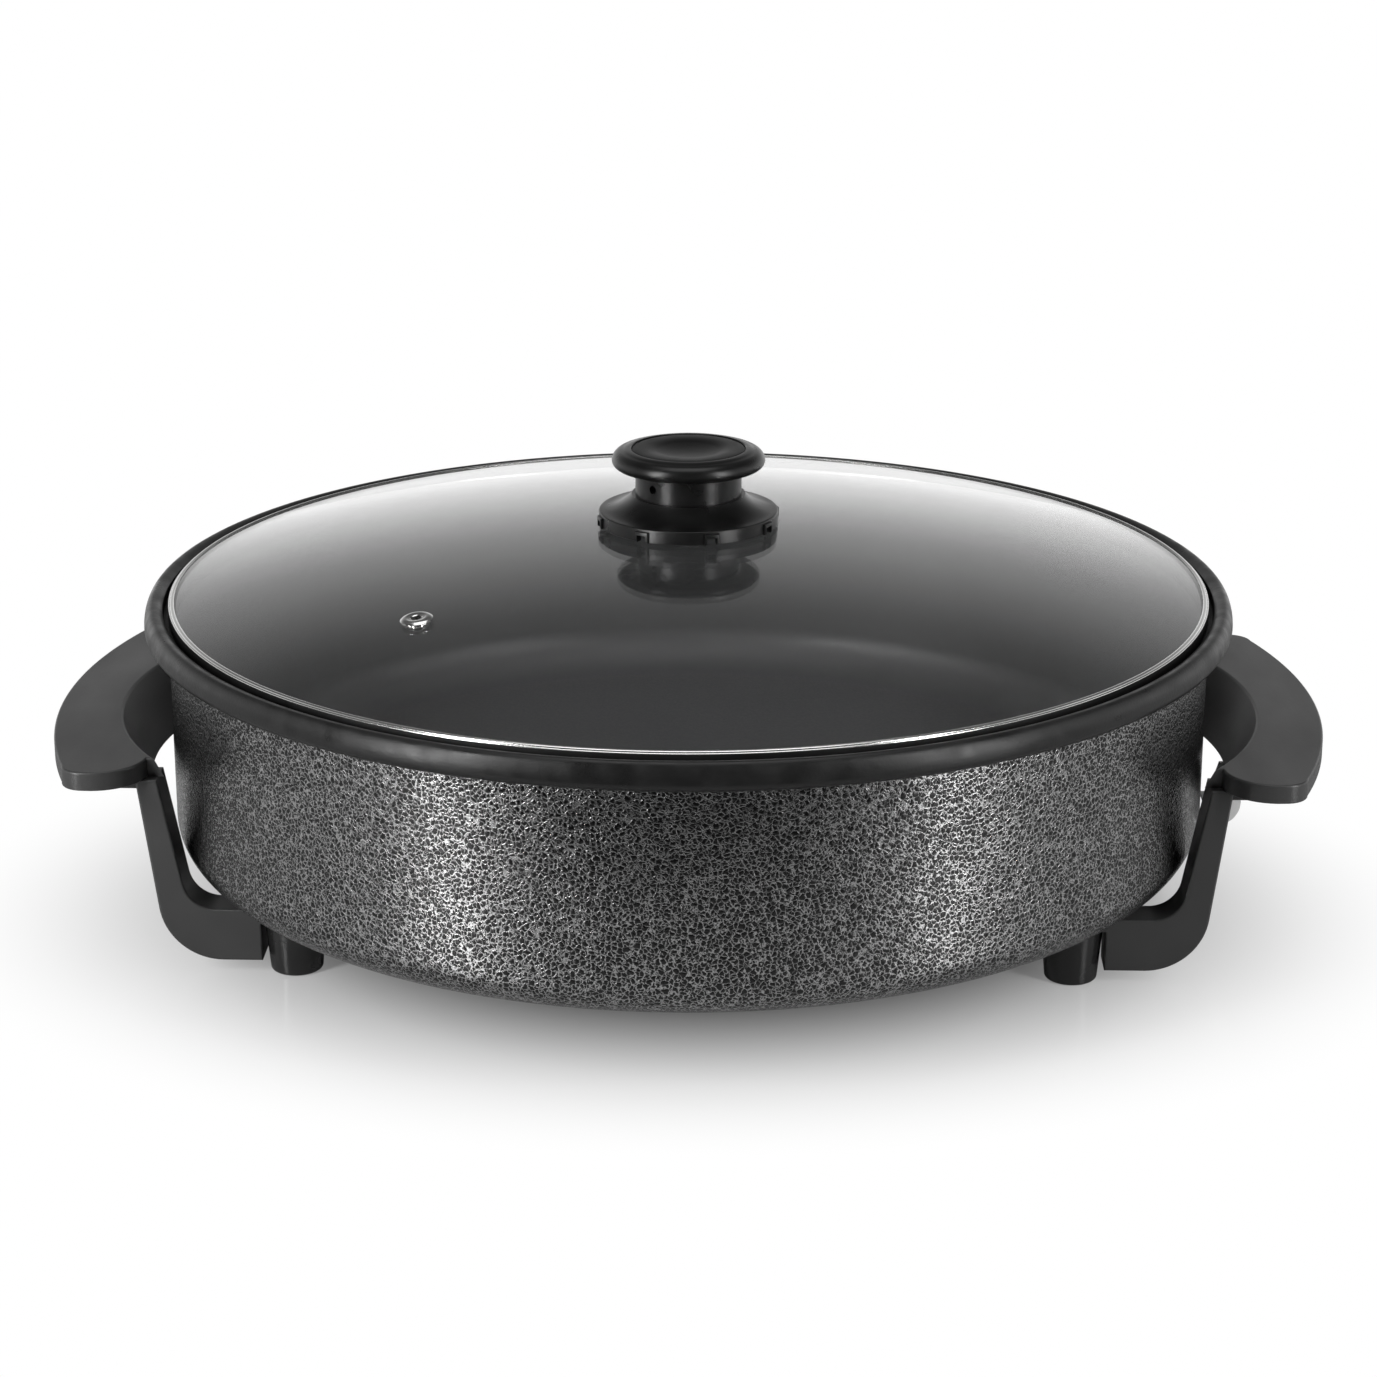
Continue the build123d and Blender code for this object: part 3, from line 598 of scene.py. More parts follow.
class Outline:
    """A line in a plane, drawn point by point in millimetres."""

    def __init__(self, *points: Point2) -> None:
        """Starts the line with its first points."""
        self.points: list[Point2] = list(points)

    def to(self, *points: Point2) -> "Outline":
        """Goes on straight to each point in turn."""
        self.points.extend(points)
        return self

    def along(self, end: Point2, steps: int) -> "Outline":
        """Goes straight to a point in several equal steps.

        Args:
            end: Where it ends.
            steps: Number of straight pieces.

        Returns:
            The outline.
        """
        start = self.points[-1]
        for k in range(1, steps + 1):
            t = k / steps
            self.points.append((start[0] + (end[0] - start[0]) * t, start[1] + (end[1] - start[1]) * t))
        return self

    def turn(self, centre: Point2, radii: Point2, start: float, sweep: float, steps: int) -> "Outline":
        """Goes on along an ellipse whose axes lie along the plane's.

        Args:
            centre: Its centre.
            radii: Its half widths.
            start: The angle where the turn starts, in degrees.
            sweep: How far it goes, in degrees.
            steps: Number of straight pieces.

        Returns:
            The outline.
        """
        for k in range(1, steps + 1):
            angle = math.radians(start + sweep * k / steps)
            across, up = radii[0] * math.cos(angle), radii[1] * math.sin(angle)
            self.points.append((centre[0] + across, centre[1] + up))
        return self

    def through(self, middle: Point2, end: Point2, steps: int) -> "Outline":
        """Goes on along the arc through a middle point to an end point.

        Args:
            middle: A point on the arc.
            end: Where it ends.
            steps: Number of straight pieces.

        Returns:
            The outline.
        """
        (ax, ay), (bx, by), (cx, cy) = self.points[-1], middle, end
        d = 2 * (ax * (by - cy) + bx * (cy - ay) + cx * (ay - by))
        a2, b2, c2 = ax * ax + ay * ay, bx * bx + by * by, cx * cx + cy * cy
        ux = (a2 * (by - cy) + b2 * (cy - ay) + c2 * (ay - by)) / d
        uy = (a2 * (cx - bx) + b2 * (ax - cx) + c2 * (bx - ax)) / d
        start = math.atan2(ay - uy, ax - ux)
        mid = (math.atan2(by - uy, bx - ux) - start) % math.tau
        sweep = (math.atan2(cy - uy, cx - ux) - start) % math.tau
        if mid > sweep:
            sweep -= math.tau
        radius = math.hypot(ax - ux, ay - uy)
        return self.turn((ux, uy), (radius, radius), math.degrees(start), math.degrees(sweep), steps)

    @classmethod
    def rod(cls, radius: float, low: float, high: float) -> "Outline":
        """Draws the section that turns into a rod between two heights."""
        return cls((0.0, low), (radius, low), (radius, high), (0.0, high))

    @classmethod
    def rounded(
        cls, corners: Sequence[Point2], radii: Sequence[float], steps: int, closed: bool
    ) -> "Outline":
        """Draws straight runs whose corners are rounded.

        Args:
            corners: The corner points.
            radii: The radius at each corner, 0 for a sharp one.
            steps: Straight pieces in each rounded corner.
            closed: True if the last corner joins the first.

        Returns:
            The outline, without its first point repeated.
        """
        line = cls()
        count = len(corners)
        for k, (corner, radius) in enumerate(zip(corners, radii)):
            here = Vector(corner)
            if radius == 0 or (not closed and k in (0, count - 1)):
                line.to(corner)
                continue
            back = (Vector(corners[k - 1]) - here).normalized()
            on = (Vector(corners[(k + 1) % count]) - here).normalized()
            half = back.angle(on) / 2
            reach = radius / math.tan(half)
            centre = here + (back + on).normalized() * (radius / math.sin(half))
            first, last = here + back * reach, here + on * reach
            start = math.atan2(first.y - centre.y, first.x - centre.x)
            sweep = (math.atan2(last.y - centre.y, last.x - centre.x) - start + math.pi) % math.tau - math.pi
            line.to(tuple(first))
            line.turn(tuple(centre), (radius, radius), math.degrees(start), math.degrees(sweep), steps)
        return line


def extruded(name: str, outline: Sequence[Point2], low: float, high: float) -> Piece:
    """Makes a slab from an outline in X and Z that runs along Y.

    Args:
        name: The object's name.
        outline: Its closed outline, in millimetres.
        low: Where it starts on Y.
        high: Where it ends on Y.

    Returns:
        The new object.
    """
    count = len(outline)
    points = [(x, y, z) for y in (low, high) for x, z in outline]
    sides = [(k, (k + 1) % count, count + (k + 1) % count, count + k) for k in range(count)]
    ends = [tuple(range(count)), tuple(range(2 * count - 1, count - 1, -1))]
    piece = new_piece(name, points, faces=sides + ends)
    face_outwards(piece.data)
    return piece


# ---------------------------------------------------------------- finishes


def grey(level: float) -> Colour:
    """Gives a neutral colour."""
    return (level, level, level)


@dataclass(frozen=True)
class Finish:
    """A surface whose colour, gloss and relief come from noise on Object coordinates."""

    name: str
    colour: Colour
    roughness: float
    metallic: float = 0.0
    specular: float = 0.5
    mottle: float = 0.15
    mottle_scale: float = 60.0
    gloss_drift: float = 0.05
    grain_scale: float = 1400.0
    grain_depth: float = 0.02
    stretch: Point3 = (1.0, 1.0, 1.0)
    cloud_span: Point2 = (0.3, 0.7)
    glossiest: float = 0.02
    grain_height: float = 0.0005

    def material(self) -> bpy.types.Material:
        """Gives the material, and makes it the first time.

        Returns:
            The material.
        """
        made = bpy.data.materials.get("finish_" + self.name)
        if made is None:
            made = bpy.data.materials.new("finish_" + self.name)
            made.use_nodes = True
            sketch = NodeSketch(made.node_tree)
            sketch.add("ShaderNodeOutputMaterial", {"Surface": self.shader(sketch)})
        return made

    def place(self, sketch: NodeSketch) -> Socket:
        """Adds the Object coordinates that the pattern lies on, stretched by the finish."""
        spot = sketch.out("ShaderNodeTexCoord", None, "Object")
        return sketch.out("ShaderNodeMapping", {"Vector": spot, "Scale": self.stretch})

    def shader(self, sketch: NodeSketch) -> Socket:
        """Adds the nodes of the finish.

        Args:
            sketch: The material's tree.

        Returns:
            The shader that goes to the surface.
        """
        place = self.place(sketch)
        clouds = sketch.noise(place, self.mottle_scale, 5.0)
        grain = sketch.noise(place, self.grain_scale, 3.0)
        dark = tuple(c * (1 - self.mottle) for c in self.colour)
        light = tuple(min(1.0, c * (1 + self.mottle)) for c in self.colour)
        gloss = (max(self.glossiest, self.roughness - self.gloss_drift), self.roughness + self.gloss_drift)
        return sketch.out(
            "ShaderNodeBsdfPrincipled",
            {
                "Base Color": sketch.blend(clouds, dark, light),
                "Roughness": sketch.spread(clouds, self.cloud_span, gloss),
                "Normal": sketch.bump(grain, self.grain_depth, self.grain_height),
                "Metallic": self.metallic,
                "Specular IOR Level": self.specular,
            },
        )


@dataclass(frozen=True)
class HammeredEnamel(Finish):
    """Hammer-tone enamel: domed dark cells with a net of pale metallic veins between them."""

    vein: Colour = grey(0.5)
    cell_scale: float = 540.0
    vein_half: float = 0.11
    vein_range: Point2 = (0.5, 1.4)
    vein_scale: float = 420.0
    vein_span: Point2 = (0.32, 0.68)
    warp: float = 0.0021
    warp_scale: float = 700.0
    fray: float = 0.06
    fray_scale: float = 1500.0
    relief: float = 0.00015
    dome_end: float = 0.35

    def shader(self, sketch: NodeSketch) -> Socket:
        """Adds the nodes of the enamel.

        Args:
            sketch: The material's tree.

        Returns:
            The shader that goes to the surface.
        """
        place = self.place(sketch)
        centred = sketch.vector("SUBTRACT", sketch.noise(place, self.warp_scale, 2.0, "Color"), grey(0.5))
        pushed = sketch.out("ShaderNodeVectorMath", {0: centred, "Scale": self.warp}, operation="SCALE")
        feeds = {"Vector": sketch.vector("ADD", place, pushed), "Scale": self.cell_scale}
        cells = sketch.out("ShaderNodeTexVoronoi", feeds, "Distance", feature="DISTANCE_TO_EDGE")
        frayed = sketch.math("SUBTRACT", sketch.noise(place, self.fray_scale, 1.0), 0.5)
        edge = sketch.math("ADD", cells, sketch.math("MULTIPLY", frayed, self.fray))
        patches = sketch.noise(place, self.vein_scale, 1.0)
        thin, thick = (self.vein_half * share for share in self.vein_range)
        width = sketch.spread(patches, self.vein_span, (thin, thick))
        vein = sketch.spread(edge, (0.0, width), (1.0, 0.0), True)
        dome = sketch.spread(edge, (0.0, self.dome_end), smooth=True)
        return sketch.out(
            "ShaderNodeBsdfPrincipled",
            {
                "Base Color": sketch.blend(vein, self.colour, self.vein),
                "Roughness": self.roughness,
                "Normal": sketch.bump(dome, 1.0, self.relief),
                "Metallic": self.metallic,
            },
        )


@dataclass(frozen=True)
class DomeGlass(Finish):
    """Clear tempered glass that lets the lamps' light through."""

    bend: float = 1.5
    shadow: Colour = (0.93, 0.94, 0.93)

    def shader(self, sketch: NodeSketch) -> Socket:
        """Adds the nodes of the glass.

        Args:
            sketch: The material's tree.

        Returns:
            The shader that goes to the surface.
        """
        glass = sketch.out(
            "ShaderNodeBsdfPrincipled",
            {
                "Base Color": (*self.colour, 1.0),
                "Roughness": self.roughness,
                "IOR": self.bend,
                "Transmission Weight": 1.0,
            },
        )
        clear = sketch.out("ShaderNodeBsdfTransparent", {"Color": (*self.shadow, 1.0)})
        return sketch.either(sketch.out("ShaderNodeLightPath", None, "Is Shadow Ray"), glass, clear)


class Finishes:
    """Every finish on the skillet."""

    enamel = HammeredEnamel("hammered_enamel", grey(0.035), 0.16, metallic=1.0)
    nonstick = Finish(
        "nonstick_coat", (0.025, 0.025, 0.026), 0.48,
        specular=0.4, mottle=0.25, mottle_scale=900, grain_depth=0.05,
    )  # fmt: skip
    rim = Finish(
        "rim_satin", grey(0.008), 0.37,
        specular=0.27, mottle=0.3, mottle_scale=120, gloss_drift=0.1, grain_scale=900, grain_depth=0.12,
    )  # fmt: skip
    band = Finish(
        "band_steel", (0.66, 0.66, 0.65), 0.2,
        gloss_drift=0.02, metallic=1.0, mottle=0.05, grain_depth=0.01,
    )  # fmt: skip
    # Near-black steel on the band's outer side: painted shade of the gap between band and rim, not the
    # steel's own colour.
    band_side = Finish("band_side_steel", grey(0.035), 0.5, metallic=1.0, mottle=0.05, grain_depth=0.01)
    glass = DomeGlass("dome_glass", grey(1.0), 0.0)
    phenolic = Finish(
        "satin_phenolic", grey(0.030), 0.42,
        mottle=0.16, mottle_scale=38, gloss_drift=0.07, grain_depth=0.06, stretch=(1.0, 0.35, 1.0),
    )  # fmt: skip
    foot = Finish("gloss_foot", grey(0.012), 0.26)
    knob = Finish("knob_phenolic", grey(0.004), 0.31, specular=0.3, mottle_scale=90, grain_depth=0.03)
    # Near-black satin on the band's inner faces and the rim's step: painted shade of the gap between band
    # and rim.
    lip = Finish("band_dark_lip", grey(0.004), 0.5, specular=0.15)
    inlay = Finish("knob_inlay_satin", grey(0.004), 0.42, specular=0.12, grain_depth=0.03)
    guard = Finish("guard_steel", grey(0.62), 0.4, mottle_scale=120)
    screw = Finish("screw_steel", (0.55, 0.55, 0.54), 0.3, metallic=1.0)
    sheath = Finish("heater_sheath", (0.16, 0.15, 0.14), 0.45, metallic=0.8, mottle_scale=150)
    nickel = Finish("pin_nickel", (0.62, 0.60, 0.56), 0.2, metallic=1.0)
    sleeve = Finish("sleeve_steel", grey(0.5), 0.3, metallic=1.0)
    ceramic = Finish("white_ceramic", (0.68, 0.66, 0.6), 0.5, mottle=0.06)
    brass = Finish("insert_brass", (0.6, 0.45, 0.2), 0.3, metallic=1.0)
    rubber = Finish("gasket_rubber", grey(0.02), 0.6)
    cradle = Finish("cradle_aluminium", grey(0.30), 0.45, metallic=0.7, mottle_scale=200)


# ---------------------------------------------------------------- handing pieces over


@dataclass
class Workshop:
    """The trees that the sub-assemblies share, and how a finished piece is handed over."""

    lathe: Lathe = field(default_factory=Lathe)
    ring: RingOf = field(default_factory=RingOf)
    rows: RowsOf = field(default_factory=RowsOf)
    tube: TubeAlong = field(default_factory=TubeAlong)
    soft: SoftEdges = field(default_factory=SoftEdges)

    def turned(self, name: str, section: Outline, finish: Finish, steps: int = TURN_STEPS) -> Piece:
        """Turns a closed section about Z.

        Args:
            name: The piece's name.
            section: The section, as radius and height. Its ends lie on the axis, or it closes itself.
            finish: What the piece is finished in.
            steps: Flats round the piece.

        Returns:
            The finished piece.
        """
        line = list(section.points)
        if math.dist(line[0], line[-1]) > SAME_SPOT and (line[0][0] > 0 or line[-1][0] > 0):
            line.append(line[0])
        piece = new_piece(name, [(r, 0.0, z) for r, z in line])
        self.lathe.run(piece, steps=steps, finish=finish.material())
        face_outwards(piece.data)
        smooth(piece.data)
        return piece

    def turned_in_two(
        self, name: str, section: Outline, finish: Finish, *others: tuple[Finish, Callable]
    ) -> Piece:
        """Turns a section and finishes some of its faces in another way.

        Args:
            name: The piece's name.
            section: The section, as for turned.
            finish: What the piece is finished in.
            *others: Another finish, and what says of a face whether it gets that finish.

        Returns:
            The finished piece.
        """
        piece = self.turned(name, section, finish)
        for number, (other, chosen) in enumerate(others, 1):
            piece.data.materials.append(other.material())
            for face in filter(chosen, piece.data.polygons):
                face.material_index = number
        return piece

    def hand_over(self, piece: Piece, body: Body, slot: str, *nodes: str) -> None:
        """Lets a finished piece ride on its body and stand for its CAD nodes.

        Args:
            piece: The finished piece.
            body: The body it rides on.
            slot: The record's material slot; not used.
            *nodes: The CAD nodes that it stands for.
        """
        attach(piece, body.value)
        if nodes:
            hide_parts(*nodes)
        log.info("%s: %d faces on %s", piece.name, len(piece.data.polygons), body.value)

    def keep(self, node: str, finish: Finish) -> None:
        """Keeps a CAD node and finishes it.

        Args:
            node: The node's name.
            finish: Its finish.
        """
        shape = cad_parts[node]
        material = finish.material()
        if shape.material_slots:
            for place in shape.material_slots:
                place.material = material
        else:
            shape.data.materials.append(material)
        self.soft.attach(shape, sharp_angle=SHARP_ANGLE, finish=material)
        log.info("%s: kept from the CAD", node)


@dataclass
class SubAssembly:
    """Part of the skillet, with the workshop that makes it."""

    shop: Workshop


@dataclass
class CornerPiece(SubAssembly):
    """A piece that stands at one corner of the skillet."""

    hand: Hand
    row: Row

    @property
    def corner(self) -> str:
        """Names the corner."""
        return f"{self.row.name}_{self.hand.name}".lower()


# ---------------------------------------------------------------- pan


@dataclass
class Pan(SubAssembly):
    """The cast pan: hammered enamel outside, non-stick coat inside, and a rolled rim."""

    base_z: float = 33.5
    outer_r: float = 205.8
    wall: float = 3.0
    base_thick: float = 5.0
    corner: Point2 = (22.0, 17.0)
    rim_low_z: float = 123.2
    rim_foot: Point2 = (207.2, 124.2)
    rim_wide_z: float = 128.4
    rim_r: float = 215.0
    rim_top: Point2 = (211.4, 136.0)
    lip_edge: Point2 = (208.0, 134.7)
    step_r: float = 207.4
    ledge_z: float = LEDGE_Z
    ledge_soft: float = 0.8
    lip_bulge: float = 0.35
    lip_drop: float = 0.9

    def body(self) -> Piece:
        """Turns the pan's shell and finishes its two sides.

        Returns:
            The piece, with its finish.
        """
        low, across, up = self.base_z, *self.corner
        inner_r, floor_z = self.outer_r - self.wall, self.base_z + self.base_thick
        section = Outline((0.0, low)).along((self.outer_r - across, low), 6)
        section.turn((self.outer_r - across, low + up), (across, up), 270, 90, 16)
        section.along((self.outer_r, self.rim_low_z), 5)
        section.to((inner_r, self.rim_low_z))
        section.along((inner_r, floor_z + up), 5)
        section.turn((inner_r - across, floor_z + up), (across, up), 0, -90, 14)
        section.along((0.0, floor_z), 6)
        inside = (Finishes.nonstick, lambda face: outwardness(face) < INWARD or face.normal.z > UPWARD)
        return self.shop.turned_in_two("pan_shell", section, Finishes.enamel, inside)

    def rim(self) -> Piece:
        """Turns the rolled rim with the step that centres the lid, the step painted near-black as shade.

        Returns:
            The piece, with its finish.
        """
        foot_r, foot_z = self.rim_foot
        top_r, top_z = self.rim_top
        wide = self.rim_wide_z
        section = Outline((self.outer_r, self.rim_low_z))
        section.through((self.outer_r + 0.4, self.rim_low_z + 0.6), self.rim_foot, 4)
        section.turn((foot_r, wide), (self.rim_r - foot_r, wide - foot_z), 270, 90, 12)
        section.turn((top_r, wide), (self.rim_r - top_r, top_z - wide), 0, 90, 14)
        edge_r, edge_z = self.lip_edge
        section.through(((top_r + edge_r) / 2, (top_z + edge_z) / 2 + self.lip_bulge), self.lip_edge, 6)
        step_top = (self.step_r, edge_z - self.lip_drop)
        section.through((self.step_r + 0.15, edge_z - self.lip_bulge), step_top, 4)
        inner_r = self.outer_r - self.wall
        section.to(
            (self.step_r, self.ledge_z),
            (inner_r + self.ledge_soft, self.ledge_z),
            (inner_r, self.ledge_z - self.ledge_soft),
            (inner_r, self.rim_low_z),
        )
        # The rim's step and inner face get the near-black finish: painted shade of the gap under the band.
        reach = (self.step_r + 0.1) * MM
        step = (Finishes.lip, lambda face: math.hypot(face.center.x, face.center.y) < reach)
        return self.shop.turned_in_two("rolled_rim", section, Finishes.rim, step)

    def build(self) -> None:
        """Builds both pieces and hands them over."""
        self.shop.hand_over(self.body(), Body.SKILLET, "pan_coat", "pan_body")
        self.shop.hand_over(self.rim(), Body.SKILLET, "rim_coat", "pan_rim")


# ---------------------------------------------------------------- lid


@dataclass
class Lid(SubAssembly):
    """The glass dome with its steel band and steam eyelet."""

    top_z: float = 161.5
    glass_t: float = 4.5
    glass_edge: float = 0.5
    glass_r: float = 204.7
    hole_r: float = 3.0
    edge_z: float = 136.3
    band_t: float = 0.7
    band_flange: float = 2.3
    band_soft: float = 0.9
    band_crown: Point3 = (0.25, 0.75, 0.4)
    band_round: float = 0.55
    lip_shade_tilt: float = -0.25
    side_shade_tilt: float = 0.35
    land: float = 1.6
    fit: float = 0.05
    ledge_z: float = LEDGE_Z
    vent: Point2 = (-98.0, -97.0)
    vent_glass_r: float = 3.5
    drill: Point2 = (-9.0, 3.0)
    vent_hole_r: float = 2.0
    vent_tube_r: float = 3.4
    vent_flange_r: float = 6.2
    vent_curl_r: float = 5.0

    def __post_init__(self) -> None:
        """Works out the sphere that the dome lies on."""
        rise = self.top_z - self.edge_z
        self.radius = (self.glass_r**2 + rise**2) / (2 * rise)
        self.centre_z = self.top_z - self.radius

    def height(self, r: float, inset: float = 0.0) -> float:
        """Gives the dome's height at radius r, or that of a surface that lies inset below it."""
        return self.centre_z + math.sqrt((self.radius - inset) ** 2 - r**2)

    def dome(self, line: Outline, start: float, end: float, inset: float, steps: int) -> None:
        """Draws part of the dome's section.

        Args:
            line: The outline that it goes on.
            start: Radius where it starts.
            end: Radius where it ends.
            inset: How far it lies below the outer face.
            steps: Number of straight pieces.
        """
        for k in range(steps + 1):
            r = start + (end - start) * k / steps
            line.to((r, self.height(r, inset)))

    def vent_place(self) -> Matrix:
        """Gives the tilted plane of the eyelet, its Z out of the glass.

        Returns:
            The plane, as a matrix in metres.
        """
        x, y = self.vent
        z = self.height(math.hypot(x, y))
        out = Vector((x, y, z - self.centre_z)).normalized()
        turn = Vector((0, 0, 1)).rotation_difference(out).to_matrix().to_4x4()
        return shift(x, y, z) @ turn

    def glass(self) -> Piece:
        """Turns the dome and drills its steam hole.

        Returns:
            The piece, with its finish.
        """
        section, edge = Outline(), self.glass_edge
        self.dome(section, self.hole_r, self.glass_r - edge, 0.0, 40)
        section.to((self.glass_r, self.height(self.glass_r) - edge))
        section.to((self.glass_r, self.height(self.glass_r, self.glass_t) + edge))
        self.dome(section, self.glass_r - edge, self.hole_r, self.glass_t, 40)
        piece = self.shop.turned("glass_dome", section, Finishes.glass)
        bore = Outline.rod(self.vent_glass_r, *self.drill)
        tool = self.shop.turned("drill", bore, Finishes.glass, BORE_STEPS)
        tool.data.transform(self.vent_place())
        return cut_out(piece, tool)

    def band(self) -> Piece:
        """Turns the band that is folded over the edge of the glass, its inner and outer sides painted
        near-black as shade.

        Returns:
            The piece, with its finish.
        """
        outer = self.glass_r + self.fit + self.band_t
        inner, shoulder = outer - self.band_flange, outer - self.band_soft
        gap, fold = self.fit, self.band_round
        lip, crown, side = self.band_crown
        crest = (inner + shoulder) / 2 + 0.1
        section = Outline((inner, self.height(inner, -lip)))
        side_r = shoulder + 0.3
        section.through((crest, self.height(crest, -crown)), (side_r, self.height(side_r, -side)), 10)
        top = section.points[-1][1]
        section.turn((shoulder + 0.1, top - fold), (self.band_soft - 0.1, fold), 75, -75, 6)
        section.to((outer, self.ledge_z + self.band_soft))
        section.turn((shoulder, self.ledge_z + self.band_soft), (self.band_soft, self.band_soft), 0, -90, 6)
        section.to((shoulder - self.land, self.ledge_z))
        section.to((inner, self.height(inner, self.glass_t + self.band_t)))
        section.to((inner, self.height(inner, self.glass_t + gap)))
        self.dome(section, inner + 1.0, self.glass_r, self.glass_t + gap, 3)
        section.to((self.glass_r + gap, self.height(self.glass_r, self.glass_t + gap)))
        section.to((self.glass_r + gap, self.height(self.glass_r, -gap)))
        self.dome(section, self.glass_r, inner, -gap, 4)
        # The band's inner and lower faces get the near-black finish: painted shade where the band sits in
        # the rim's step.
        inside = (Finishes.lip, lambda face: outwardness(face) <= 0 and face.normal.z < self.lip_shade_tilt)
        # The band's outer side is painted near-black: painted shade of the gap below the rim's crest.
        outside = (Finishes.band_side, lambda face: outwardness(face) > 0 and face.normal.z < self.side_shade_tilt)
        return self.shop.turned_in_two("steel_band", section, Finishes.band, inside, outside)

    def eyelet(self) -> Piece:
        """Turns the steam eyelet and sets it in the glass.

        Returns:
            The piece, with its finish.
        """
        hole, tube, wide, curl = self.vent_hole_r, self.vent_tube_r, self.vent_flange_r, self.vent_curl_r
        under = -self.glass_t
        section = Outline((hole, 0.6)).through((hole + 0.35, 0.85), (hole + 1.0, 0.9), 4)
        section.through((wide - 1.3, 1.0), (wide, 0.25), 8)
        section.to((wide, 0.02), (tube, 0.02), (tube, under - 0.1), (curl, under - 0.1), (curl, under - 0.7))
        section.through((curl - 0.4, under - 1.0), (hole + 0.5, under - 1.0), 4)
        section.to((hole, under - 0.6))
        piece = self.shop.turned("steam_eyelet", section, Finishes.band, SMALL_STEPS)
        piece.data.transform(self.vent_place())
        return piece

    def build(self) -> None:
        """Builds the three pieces and hands them over."""
        self.shop.hand_over(self.glass(), Body.LID, "glass", "lid_glass")
        self.shop.hand_over(self.band(), Body.LID, "band_steel", "lid_band")
        self.shop.hand_over(self.eyelet(), Body.LID, "band_steel", "vent_eyelet")


# ---------------------------------------------------------------- knob


